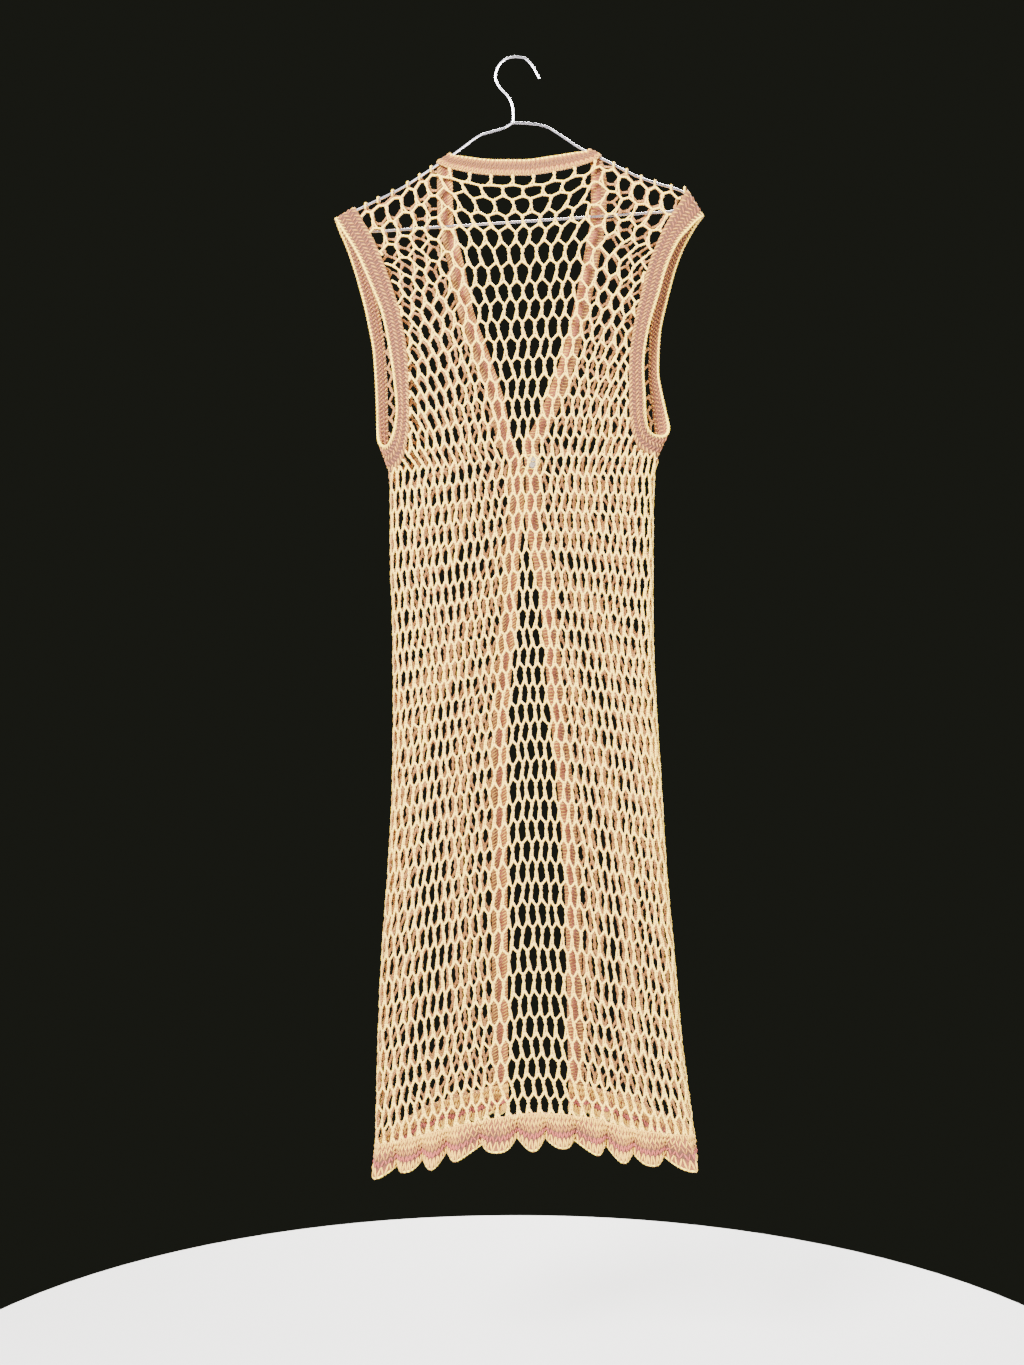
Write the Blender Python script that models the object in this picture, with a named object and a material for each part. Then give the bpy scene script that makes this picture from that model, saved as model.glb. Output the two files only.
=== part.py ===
"""A long crochet-net vest with an open front, hanging on a thin wire hanger.

The origin is inside the top of the hanger's hook.  +Z is up, +Y points to the garment's front and
-Y to its back.  Sizes are in millimetres, and every height is a drop, measured down from the origin.
"""

import math

import bmesh
import bpy
from mathutils import Vector

MM = 0.001

# Cloth
WALL = 2.4  # the crochet's thickness
SEAM = 0.3  # gap between two pieces that are joined by a seam
FRONT_BAND = 18.0  # width of the bands down the front opening
RUFFLE_HEIGHT = 34.0
RUFFLE_WAVE = 7.5  # how far a lobe swings out and a valley in at the ruffle's lower edge
RUFFLE_SCALLOP = 4.5  # how much lower a lobe hangs than the ruffle's mean edge
RUFFLE_FLARE = 3.0
ROW_RIDGE = 0.5  # relief of a band's crochet rows over its plain inner face

# Hanger
WIRE = 3.0
CLOTH_OVER_WIRE = 3.6  # rise of the cloth's middle over the middle of the wire
CLOTH_BESIDE_WIRE = 3.1

# How the cloth hangs
SHOULDER_EASE = 90.0  # below the shoulder the two layers part over this drop
SIDE_FOLD = 25.0  # width of the rounded fold down each side
FOLD_COLUMNS = (0.0, 0.1, 0.35)  # places across that fold, as shares of it

# Button
BUTTON_X = 18.7
BUTTON_DROP = 469.5
BUTTON_RADIUS = 7.2
BUTTON_THICKNESS = 2.2
BUTTON_DISH = 0.7
BUTTON_HOLE_RADIUS = 0.9
BUTTON_HOLE_SPACING = 3.0

BACK, FRONT = -1, 1


def table(columns, *rows):
    """Rows of a table as dictionaries of its named columns."""
    names = columns.split()
    return [dict(zip(names, row)) for row in rows]


def curve(rows, key, value):
    """A smooth curve through two columns of a table, with no overshoot between its rows."""
    at = [row[key] for row in rows]
    out = [row[value] for row in rows]
    secant = [(out[i + 1] - out[i]) / (at[i + 1] - at[i]) for i in range(len(at) - 1)]
    slope = [secant[0]]
    for a, b in zip(secant, secant[1:]):
        slope.append(0.0 if a * b <= 0 else 2 * a * b / (a + b))
    slope.append(secant[-1])

    def read(t):
        t = min(max(t, at[0]), at[-1])
        i = next((k for k in range(len(at) - 2) if t < at[k + 1]), len(at) - 2)
        width = at[i + 1] - at[i]
        s = (t - at[i]) / width
        return (
            out[i] * (1 + 2 * s) * (1 - s) ** 2
            + out[i + 1] * s * s * (3 - 2 * s)
            + width * slope[i] * s * (1 - s) ** 2
            + width * slope[i + 1] * s * s * (s - 1)
        )

    return read


def blend(a, b, t):
    return a + (b - a) * t


def ease(t):
    t = min(max(t, 0.0), 1.0)
    return t * t * (3 - 2 * t)


def quarter_round(t):
    """Height of a quarter circle of radius 1, at a distance t from its edge."""
    return math.sqrt(1 - (1 - min(max(t, 0.0), 1.0)) ** 2)


# The hanger's shoulders, from its left end over the neck to its right end.
ARMS = table(
    "x drop",
    (-186, 177.0),
    (-133, 150.8),
    (-94, 125.5),
    (-71, 110.3),
    (-58, 100.5),
    (-46, 92.0),
    (-39, 88.5),
    (-28, 85.5),
    (-14, 81.2),
    (-8, 77.4),
    (-3, 75.5),
    (9, 76.0),
    (24, 77.5),
    (36, 81.0),
    (44, 86.0),
    (57, 94.5),
    (71, 104.0),
    (100, 118.2),
    (147, 141.0),
    (188, 153.5),
)
BAR_LEFT = (-186, 203.6)
BAR_RIGHT = (186, 178.6)
CORNER_LEFT = ((-0.9, 0.44), (-1.0, 0.07), 25)  # directions in and out, and how far it bulges
CORNER_RIGHT = ((0.96, 0.28), (1.0, -0.07), 17)
CORNER_STEPS = 7
BAR_STEPS = 12
HOOK_STEPS = 30
WIRE_STEP = 9.0  # between points along the shoulders, or less where they bend

# The hook, from its tip to the straight shank, which ends on the top of the shoulders' wire.
HOOK = table(
    "x drop",
    (25.7, 23.7),
    (16.6, 8.0),
    (7.0, -0.4),
    (-2.0, -1.5),
    (-11.5, 0.6),
    (-21.7, 9.5),
    (-25.6, 22.5),
    (-20.5, 34.5),
    (-9.6, 46.5),
    (-4.9, 60.0),
    (-4.5, 67.0),
)

# Top line of the cloth: over the arms' ends, to the net's edge, to the armhole band's free edge.
TOP_LEFT = table("x drop", (-212.6, 188.5), (-189.0, 174.3), (-186.0, 173.4))
TOP_RIGHT = table("x drop", (188.0, 149.9), (198.0, 153.6), (217.0, 185.5))

# Half of the distance between the middles of the back and the front layer.
HALF_GAP = table(
    "drop gap",
    (60, 6.0),
    (250, 7.5),
    (455, 12.0),
    (800, 14.0),
    (1100, 17.0),
    (1270, 19.0),
)

# The side folds.  Above the armholes' feet (484 left, 466 right) they are the lines, outside the
# cloth, towards which each layer rounds off.
LEFT_SIDE = table(
    "drop x",
    (200, -240.0),
    (385, -205.0),
    (447, -168.0),
    (470, -154.0),
    (484, -147.5),
    (503, -147.0),
    (585, -147.0),
    (655, -144.5),
    (750, -143.5),
    (842, -144.5),
    (935, -149.0),
    (1052, -157.5),
    (1134, -161.0),
    (1270, -164.5),
)
RIGHT_SIDE = table(
    "drop x",
    (200, 250.0),
    (385, 208.0),
    (428, 184.0),
    (452, 169.5),
    (466, 163.0),
    (484, 160.0),
    (503, 158.5),
    (585, 157.5),
    (655, 157.5),
    (750, 161.0),
    (842, 167.0),
    (935, 172.5),
    (1052, 183.0),
    (1134, 190.0),
    (1270, 208.0),
)

# Each armhole band, by the drop of its edge on the net: where that edge is, and where the edge at
# the opening is, on the back and on the front.  turn is how far out of the middle that edge
# stands, as a share of the net's edge beside it.
LEFT_ARMHOLE = table(
    "drop back_net back_rim back_rim_drop front_net front_rim front_rim_drop turn",
    (174.3, -189.0, -212.6, 188.5, -189.0, -212.6, 188.5, 1.0),
    (190, -180.0, -204.0, 202.0, -188.0, -207.5, 202.5, 1.0),
    (206, -170.5, -194.5, 216.5, -184.0, -202.0, 215.0, 1.0),
    (232, -158.5, -184.0, 235.5, -178.0, -194.5, 235.0, 1.0),
    (264, -146.5, -170.5, 267.0, -168.5, -185.5, 264.0, 1.0),
    (301, -135.5, -157.5, 300.0, -160.0, -176.5, 300.0, 1.0),
    (345, -128.0, -149.0, 342.0, -154.0, -168.5, 345.0, 1.0),
    (385, -126.0, -143.5, 378.0, -152.0, -166.0, 386.0, 1.0),
    (420, -125.5, -140.8, 409.0, -151.5, -165.0, 414.0, 1.0),
    (447, -127.5, -143.0, 431.0, -150.8, -164.3, 431.0, 0.97),
    (470, -133.5, -147.5, 446.0, -150.0, -162.8, 442.0, 0.8),
    (480, -140.5, -152.0, 451.4, -148.6, -160.5, 448.0, 0.42),
    (484, -147.5, -156.8, 451.6, -147.5, -156.8, 451.6, 0.0),
)
RIGHT_ARMHOLE = table(
    "drop back_net back_rim back_rim_drop front_net front_rim front_rim_drop turn",
    (153.6, 198.0, 217.0, 185.5, 198.0, 217.0, 185.5, 1.0),
    (170, 188.5, 208.0, 192.5, 195.0, 211.0, 193.0, 1.0),
    (186, 178.0, 199.5, 202.0, 191.0, 205.0, 202.5, 1.0),
    (210, 165.5, 189.0, 214.0, 183.5, 198.0, 215.0, 1.0),
    (243, 152.5, 176.5, 239.0, 172.0, 186.8, 242.0, 1.0),
    (280, 143.0, 165.0, 277.0, 162.0, 177.0, 278.0, 1.0),
    (325, 133.5, 152.0, 323.0, 155.0, 167.8, 322.0, 1.0),
    (365, 130.0, 147.2, 362.0, 154.0, 166.0, 362.0, 1.0),
    (400, 130.0, 148.8, 391.0, 157.3, 171.0, 392.0, 1.0),
    (428, 131.8, 149.3, 412.0, 160.5, 175.5, 413.0, 0.97),
    (452, 138.5, 151.5, 430.0, 162.7, 178.0, 429.0, 0.8),
    (462, 152.0, 160.0, 439.3, 163.4, 175.5, 437.0, 0.42),
    (466, 163.0, 170.0, 440.0, 163.0, 170.0, 440.0, 0.0),
)

# The neck band, from one shoulder's fold round the back to the other: its lower edge, which is the
# top of the back panel, and the place of its upper edge across from it.
NECK = table(
    "x drop upper_x upper_drop",
    (-94.0, 121.9, -77.5, 111.0),
    (-93.4, 122.6, -77.0, 111.8),
    (-92.0, 124.4, -75.9, 113.6),
    (-76.0, 130.3, -63.0, 115.6),
    (-31.0, 137.8, -26.0, 119.6),
    (8.0, 138.5, 7.0, 119.8),
    (47.0, 133.0, 42.0, 115.1),
    (82.0, 123.5, 70.0, 110.6),
    (95.5, 117.3, 81.3, 109.2),
    (97.3, 114.5, 82.5, 107.2),
    (98.0, 113.7, 83.0, 106.3),
)

# The edges of the front opening: the V neck, the closure at the button and the slit below it.
OPENING = table(
    "drop left right",
    (106, -77.5, 83.0),
    (130, -75.5, 86.5),
    (186, -75.0, 86.0),
    (206, -70.0, 82.5),
    (250, -60.0, 74.5),
    (290, -52.0, 66.0),
    (340, -34.0, 53.5),
    (398, -15.0, 33.0),
    (430, -8.5, 18.0),
    (450, -2.5, 6.0),
    (469, 6.5, 9.0),
    (486, 8.0, 10.3),
    (503, 8.0, 10.3),
    (535, 7.5, 9.8),
    (560, 4.5, 13.0),
    (586, 2.0, 19.0),
    (634, 0.0, 27.0),
    (690, -4.0, 32.0),
    (746, -9.0, 37.0),
    (815, -12.0, 44.0),
    (935, -12.0, 54.0),
    (1000, -11.5, 57.0),
    (1140, -11.0, 59.5),
    (1270, -10.0, 62.5),
)

# Lower edge of the net on the back, and how much higher the fronts end, by the distance from a side.
BACK_HEM = table(
    "x drop",
    (-165, 1264.5),
    (-124, 1253),
    (-69, 1241),
    (-20, 1230),
    (30, 1225),
    (88, 1232),
    (120, 1240),
    (160, 1247),
    (208, 1253),
)
FRONT_HEM_RISE = table("inward rise", (0, 0.0), (30, 12.0), (70, 24.0), (150, 30.0))

# Soft folds: the middle of the fold at its foot, how far it leans, its reach and its depth.
FOLDS = table(
    "side x lean top width depth",
    (BACK, -118, 12, 900, 26, 3.5),
    (BACK, -66, -18, 760, 34, -4.5),
    (BACK, -24, -10, 860, 24, 3.0),
    (BACK, 36, 8, 820, 30, 3.5),
    (BACK, 92, 6, 940, 34, -3.5),
    (BACK, 146, 16, 880, 28, 3.0),
    (FRONT, -104, 8, 800, 34, 4.0),
    (FRONT, -52, -8, 900, 26, -3.0),
    (FRONT, 104, 10, 860, 32, 4.0),
    (FRONT, 150, 14, 960, 24, -3.0),
)

# The lobes of the hem ruffles, where they swing furthest out.
BACK_LOBES = (-158, -124, -98, -68, -20, 19, 48, 88, 121, 150, 195)
LEFT_LOBES = (-156, -128, -99, -71, -43, -17)
RIGHT_LOBES = (71, 98, 126, 156, 192)

# Rows of every panel, by the drop at its left edge.  The first three round the shoulder's fold.
TOP_CORNER = 174.3
HEM_CORNER = 1264.5
ROW_DROPS = (
    [TOP_CORNER, TOP_CORNER + 0.3 * CLOTH_OVER_WIRE, TOP_CORNER + CLOTH_OVER_WIRE]
    + [190, 206, 232, 264, 301, 345, 385, 420, 446, 464, 477, 484]
    + [494, 515, 550, 600, 655, 715, 775, 835, 895, 955, 1010, 1065, 1115, 1160, 1200, 1235]
    + [HEM_CORNER]
)
ROWS = [(drop - TOP_CORNER) / (HEM_CORNER - TOP_CORNER) for drop in ROW_DROPS]
UNDERARM_ROW = ROW_DROPS.index(484)

arm_drop = curve(ARMS, "x", "drop")
half_gap = curve(HALF_GAP, "drop", "gap")
side_left = curve(LEFT_SIDE, "drop", "x")
side_right = curve(RIGHT_SIDE, "drop", "x")
opening_left = curve(OPENING, "drop", "left")
opening_right = curve(OPENING, "drop", "right")
neck_lower = curve(NECK, "x", "drop")
neck_upper_x = curve(NECK, "x", "upper_x")
neck_upper_drop = curve(NECK, "x", "upper_drop")
back_hem = curve(BACK_HEM, "x", "drop")
front_hem_rise = curve(FRONT_HEM_RISE, "inward", "rise")


def fold_drop(x):
    """Drop of the shoulder's top line: over the wire, and past its ends straight to the bands' tips."""
    for a, b in (TOP_LEFT[:2], TOP_LEFT[1:], TOP_RIGHT[:2], TOP_RIGHT[1:]):
        if a["x"] <= x <= b["x"]:
            return blend(a["drop"], b["drop"], (x - a["x"]) / (b["x"] - a["x"]))
    return arm_drop(x) - CLOTH_OVER_WIRE


def distance_inward(x, drop):
    """Distance of a point from the nearer side fold."""
    return min(x - side_left(drop), side_right(drop) - x)


def soft_folds(side, x, drop):
    swing = 0.0
    for fold in FOLDS:
        if fold["side"] == side:
            grown = ease((drop - fold["top"]) / (HEM_CORNER - fold["top"]))
            middle = fold["x"] - fold["lean"] * (1 - grown)
            swing += fold["depth"] * grown * math.exp(-(((x - middle) / fold["width"]) ** 2) * 2)
    return swing


def depth(side, x, drop):
    """Distance of a layer from the middle plane: 0 on the shoulder line and on the side folds."""
    below = drop - fold_drop(x)
    over_wire = CLOTH_BESIDE_WIRE * quarter_round(below / CLOTH_OVER_WIRE)
    parted = (half_gap(drop) - CLOTH_BESIDE_WIRE) * ease(below / SHOULDER_EASE)
    at_side = quarter_round(distance_inward(x, drop) / SIDE_FOLD)
    return (over_wire + parted + soft_folds(side, x, drop)) * at_side


def on_cloth(side, x, drop):
    """A point of a layer's middle surface and its outward normal."""
    step = 0.05
    half_seam = side * SEAM / 2
    if drop - fold_drop(x) < step:
        slant = (fold_drop(x + step) - fold_drop(x - step)) / (2 * step)
        return Vector((x, half_seam, -drop)), Vector((slant, 0, 1)).normalized()
    if distance_inward(x, drop) < step:
        outward = -1 if x < 0 else 1
        return Vector((x, half_seam, -drop)), Vector((outward, 0, 0))
    along = (depth(side, x + step, drop) - depth(side, x - step, drop)) / (2 * step)
    down = (depth(side, x, drop + step) - depth(side, x, drop - step)) / (2 * step)
    return Vector((x, side * depth(side, x, drop), -drop)), Vector((-along, side, down)).normalized()


def sheet_point(side, u, v, top, hem, left, right):
    """A point of a panel: u runs across it and v down it, between its four edges."""
    (top_x0, top_x1), top_drop = top
    (hem_x0, hem_x1), hem_drop = hem
    top0, top1, hem0, hem1 = top_drop(top_x0), top_drop(top_x1), hem_drop(hem_x0), hem_drop(hem_x1)
    drop0, drop1 = blend(top0, hem0, v), blend(top1, hem1, v)
    top_curve = top_drop(blend(top_x0, top_x1, u)) - blend(top0, top1, u)
    hem_curve = hem_drop(blend(hem_x0, hem_x1, u)) - blend(hem0, hem1, u)
    top_shift = blend(top_x0, top_x1, u) - blend(left(top0), right(top1), u)
    x = blend(left(drop0), right(drop1), u) + top_shift * (1 - ease(v / 0.03))
    drop = blend(drop0, drop1, u)
    drop += top_curve * (1 - ease(v / ROWS[UNDERARM_ROW])) + hem_curve * ease((v - 0.5) / 0.5)
    return on_cloth(side, x, drop)


def outline(armhole, column, sides):
    """An edge of a panel: down the armhole band, and below it down the side fold."""
    band = curve(armhole, "drop", column)
    foot = armhole[-1]["drop"] - 0.2
    return lambda drop: band(drop) if drop < foot else sides(drop)


def front_hem(x):
    """Lower edge of the net on the fronts."""
    return back_hem(x) - front_hem_rise(min(x - BACK_HEM[0]["x"], BACK_HEM[-1]["x"] - x))


def band_width(edge, drop):
    """Width of a front band along x, where the opening's edge slants."""
    slant = (edge(drop + 1) - edge(drop - 1)) / 2
    return FRONT_BAND * math.hypot(1, slant)


def band_left(drop):
    return opening_left(drop) - band_width(opening_left, drop)


def band_right(drop):
    return opening_right(drop) + band_width(opening_right, drop)


def back_top(x):
    """Top line of the back panel: on the wire at the shoulders, along the neck band between them."""
    if NECK[0]["x"] < x < NECK[-1]["x"]:
        return neck_lower(x)
    return fold_drop(x)


def joined_mesh(name, points, faces, material):
    mesh = bpy.data.meshes.new(name)
    mesh.from_pydata([point * MM for point in points], [], faces)
    tidy = bmesh.new()
    tidy.from_mesh(mesh)
    bmesh.ops.recalc_face_normals(tidy, faces=tidy.faces)
    tidy.to_mesh(mesh)
    tidy.free()
    mesh.shade_smooth()
    mesh.set_sharp_from_angle(angle=math.radians(40))
    mesh.materials.append(material)
    thing = bpy.data.objects.new(name, mesh)
    bpy.context.collection.objects.link(thing)
    return thing


def wall(name, rows, material, closed=False):
    """A wall round a grid of (point, normal, relief) cells; closed joins its last row to its first."""
    count, across = len(rows), len(rows[0])
    points = []
    for row in rows:
        points += [point + normal * (WALL / 2 + relief) for point, normal, relief in row]
        points += [point - normal * (WALL / 2) for point, normal, relief in row]
    faces = []

    def corner(i, j, inner):
        return (i % count) * 2 * across + inner * across + j

    def close(a, b, c, d):
        """Two triangles, parted the same way on both sides of a seam: from the higher of a and b."""
        if points[a].z >= points[b].z:
            faces.extend([(a, b, c), (a, c, d)])
        else:
            faces.extend([(a, b, d), (b, c, d)])

    for i in range(count if closed else count - 1):
        for j in range(across - 1):
            close(corner(i, j, 0), corner(i + 1, j, 0), corner(i + 1, j + 1, 0), corner(i, j + 1, 0))
            close(corner(i, j, 1), corner(i + 1, j, 1), corner(i + 1, j + 1, 1), corner(i, j + 1, 1))
        for j in (0, across - 1):
            close(corner(i, j, 0), corner(i + 1, j, 0), corner(i + 1, j, 1), corner(i, j, 1))
    if not closed:
        for i in (0, count - 1):
            for j in range(across - 1):
                close(corner(i, j, 0), corner(i, j + 1, 0), corner(i, j + 1, 1), corner(i, j, 1))
    return joined_mesh(name, points, faces, material)


def towards(cell, aim, distance):
    """A cell's point moved towards another, to leave the gap of a seam."""
    point, normal = cell
    return point + (aim - point).normalized() * distance, normal


def band(name, stations, crochet_rows, material, closed=False):
    """A band between pairs of cells, its seam edge and its free edge, with its rows raised."""
    steps = 2 * crochet_rows
    rows = []
    for seam, free in stations:
        row = []
        for k in range(steps + 1):
            t = k / steps
            point = seam[0].lerp(free[0], t)
            normal = seam[1].lerp(free[1], t).normalized()
            row.append((point, normal, ROW_RIDGE if k % 2 else 0.0))
        rows.append(row)
    return wall(name, rows, material, closed)


def lobe_swing(x, lobe_x):
    """How far out a ruffle swings at x: 1 at the lobes, -1 in the valleys between them."""
    k = next(n for n in range(len(lobe_x) - 1) if x <= lobe_x[n + 1])
    return math.cos(math.tau * (x - lobe_x[k]) / (lobe_x[k + 1] - lobe_x[k]))


def ruffle(name, edge, lobes, material):
    """A gathered strip hung from a panel's lower edge, a list of (point, normal) cells."""
    start, end = edge[0][0].x, edge[-1][0].x
    lobe_x = [2 * start - lobes[0]] + list(lobes) + [2 * end - lobes[-1]]
    stations = [point.x for point, normal in edge]
    for a, b in zip(lobe_x, lobe_x[1:]):
        for k in range(8):
            x = blend(a, b, k / 8)
            if start < x < end and min(abs(x - other) for other in stations) > 1.4:
                stations.append(x)
    grid = []
    for x in sorted(stations):
        j = next((n for n in range(len(edge) - 2) if x < edge[n + 1][0].x), len(edge) - 2)
        (a, normal_a), (b, normal_b) = edge[j], edge[j + 1]
        t = (x - a.x) / (b.x - a.x)
        top = a.lerp(b, t) + Vector((0, 0, -SEAM))
        outward = normal_a.lerp(normal_b, t).normalized()
        swing = lobe_swing(x, lobe_x) * ease(min(x - start, end - x) / 12)
        row = []
        for step in (0.0, 0.34, 0.68, 1.0):
            out = (RUFFLE_FLARE + RUFFLE_WAVE * swing) * step**0.8
            fall = (RUFFLE_HEIGHT + RUFFLE_SCALLOP * swing) * step
            row.append(top + outward * out + Vector((0, 0, -fall)))
        grid.append((row, outward))
    return wall(name, with_normals(grid), material)


def with_normals(grid):
    """Cells for rows of points, with normals from their neighbours, kept as given along the seams."""
    rows = []
    for i, (row, outward) in enumerate(grid):
        cells = [(row[0], outward, 0.0)]
        for k in range(1, len(row)):
            normal = outward
            if 0 < i < len(grid) - 1:
                along = grid[i + 1][0][k] - grid[i - 1][0][k]
                down = row[min(k + 1, len(row) - 1)] - row[k - 1]
                normal = along.cross(down).normalized()
            cells.append((row[k], normal if normal.dot(outward) > 0 else -normal, 0.0))
        rows.append(cells)
    return rows


def finish(name, colour, roughness, metallic=0.0):
    material = bpy.data.materials.new(name)
    material.use_nodes = True
    shader = material.node_tree.nodes["Principled BSDF"]
    shader.inputs["Base Color"].default_value = (*colour, 1)
    shader.inputs["Roughness"].default_value = roughness
    shader.inputs["Metallic"].default_value = metallic
    return material


def panel_rows(side, columns, top, hem, left, right):
    return [[sheet_point(side, u, v, top, hem, left, right) for u in columns] for v in ROWS]


def build_panel(name, grid, material):
    return wall(name, [[(point, normal, 0.0) for point, normal in row] for row in grid], material)


def side_columns(count, width, fold_left, fold_right):
    """Places across a panel, closer together in the folds at its sides."""
    fold = [SIDE_FOLD * s / width for s in FOLD_COLUMNS]
    low = SIDE_FOLD / width if fold_left else 0.0
    high = 1 - SIDE_FOLD / width if fold_right else 1.0
    middle = [blend(low, high, k / count) for k in range(count + 1)]
    return (fold if fold_left else []) + middle + ([1 - s for s in reversed(fold)] if fold_right else [])


def build_back(material):
    """The back panel.  Columns stand where the neck band's ends meet the shoulders."""
    width = TOP_RIGHT[1]["x"] - TOP_LEFT[1]["x"]
    at_corners = [(row["x"] - TOP_LEFT[1]["x"]) / width for row in NECK[:3] + NECK[-3:]]
    columns = side_columns(16, width, True, True)
    columns = [u for u in columns if min(abs(u - corner) for corner in at_corners) > 0.02]
    columns = sorted(columns + at_corners)
    grid = panel_rows(
        BACK,
        columns,
        ((TOP_LEFT[1]["x"], TOP_RIGHT[1]["x"]), back_top),
        ((BACK_HEM[0]["x"], BACK_HEM[-1]["x"]), back_hem),
        outline(LEFT_ARMHOLE, "back_net", side_left),
        outline(RIGHT_ARMHOLE, "back_net", side_right),
    )
    build_panel("back", grid, material)
    first, last = columns.index(at_corners[0]), columns.index(at_corners[-1])
    return grid, grid[0][first : last + 1]


def build_front(name, left, material):
    """One front panel, from its side to the outer edge of its band.

    The strip that rounds the armhole and the side fold is a solid of its own.
    """
    edge, opening = (band_left, opening_left) if left else (band_right, opening_right)
    side_x = TOP_LEFT[1]["x"] if left else TOP_RIGHT[1]["x"]
    hem_side = BACK_HEM[0 if left else -1]["x"]
    armhole, sides = (LEFT_ARMHOLE, side_left) if left else (RIGHT_ARMHOLE, side_right)
    outer = outline(armhole, "front_net", sides)
    neck_x = NECK[0 if left else -1]["x"]
    hem_x = edge(HEM_CORNER)
    inner_neck = NECK[0 if left else -1]["upper_x"]
    inner_hem = opening(HEM_CORNER)
    columns = side_columns(9, abs(side_x - neck_x) * 1.3, left, not left)
    if left:
        top, hem, edges = (side_x, neck_x), (hem_side, hem_x), (outer, edge)
    else:
        top, hem, edges = (neck_x, side_x), (hem_x, hem_side), (edge, outer)
    grid = panel_rows(FRONT, columns, (top, fold_drop), (hem, front_hem), *edges)
    parting = len(FOLD_COLUMNS) if left else len(columns) - 1 - len(FOLD_COLUMNS)
    before, after = [row[: parting + 1] for row in grid], [row[parting:] for row in grid]
    strip, panel = (before, after) if left else (after, before)
    edge_cell, next_cell = (-1, -2) if left else (0, 1)
    for row in strip:
        row[edge_cell] = towards(row[edge_cell], row[next_cell][0], SEAM)
    build_panel(name, panel, material)
    build_panel(name + "_side", strip, material)
    free = [
        sheet_point(
            FRONT, 0, v, ((inner_neck,) * 2, fold_drop), ((inner_hem,) * 2, front_hem), opening, opening
        )
        for v in ROWS
    ]
    return grid, free


def build_front_band(name, seam, free, material):
    """The band along a front's opening edge, from the shoulder to the ruffle."""
    stations = [(towards(a, b[0], SEAM), b) for a, b in zip(seam, free)]
    band(name, stations, 3, material)
    return stations[-1]


def build_neck_band(lower, material):
    """The band round the back of the neck, from one shoulder's fold to the other."""
    stations = []
    for cell in lower:
        x, drop = neck_upper_x(cell[0].x), neck_upper_drop(cell[0].x)
        free = on_cloth(BACK, x, max(drop, fold_drop(x)))
        stations.append((towards(cell, free[0], SEAM), free))
    band("neck_band", stations, 3, material)


def build_armhole_band(name, armhole, back_edge, front_edge, material):
    """A closed ring round an armhole: down the back, round under the arm and up the front."""
    rims = {}
    for layer in ("back", "front"):
        rims[layer] = [curve(armhole, "drop", layer + word) for word in ("_rim", "_rim_drop")]
    turn = curve(armhole, "drop", "turn")

    def station(layer, cell):
        drop = -cell[0].z
        rim_x, rim_drop = (read(drop) for read in rims[layer])
        rim = Vector((rim_x, turn(drop) * cell[0].y, -rim_drop))
        return towards(cell, rim, SEAM), (rim, cell[1])

    back = [station("back", cell) for cell in back_edge[: UNDERARM_ROW + 1]]
    front = [station("front", cell) for cell in front_edge[: UNDERARM_ROW + 1]]
    for k in (0, UNDERARM_ROW):
        for cell in back[k]:
            cell[0].y = 0.0
    ring = back + front[UNDERARM_ROW - 1 : 0 : -1]
    ring = [(seam, (free[0], rim_normal(ring, k))) for k, (seam, free) in enumerate(ring)]
    band(name, ring, 3, material, closed=True)


def rim_normal(ring, k):
    """Normal of an armhole band at its free edge, from the stations beside it."""
    before, after = ring[k - 1][1][0], ring[(k + 1) % len(ring)][1][0]
    seam, free = ring[k][0], ring[k][1]
    normal = (after - before).cross(free[0] - seam[0]).normalized()
    return normal if normal.dot(seam[1]) > 0 else -normal


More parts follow.
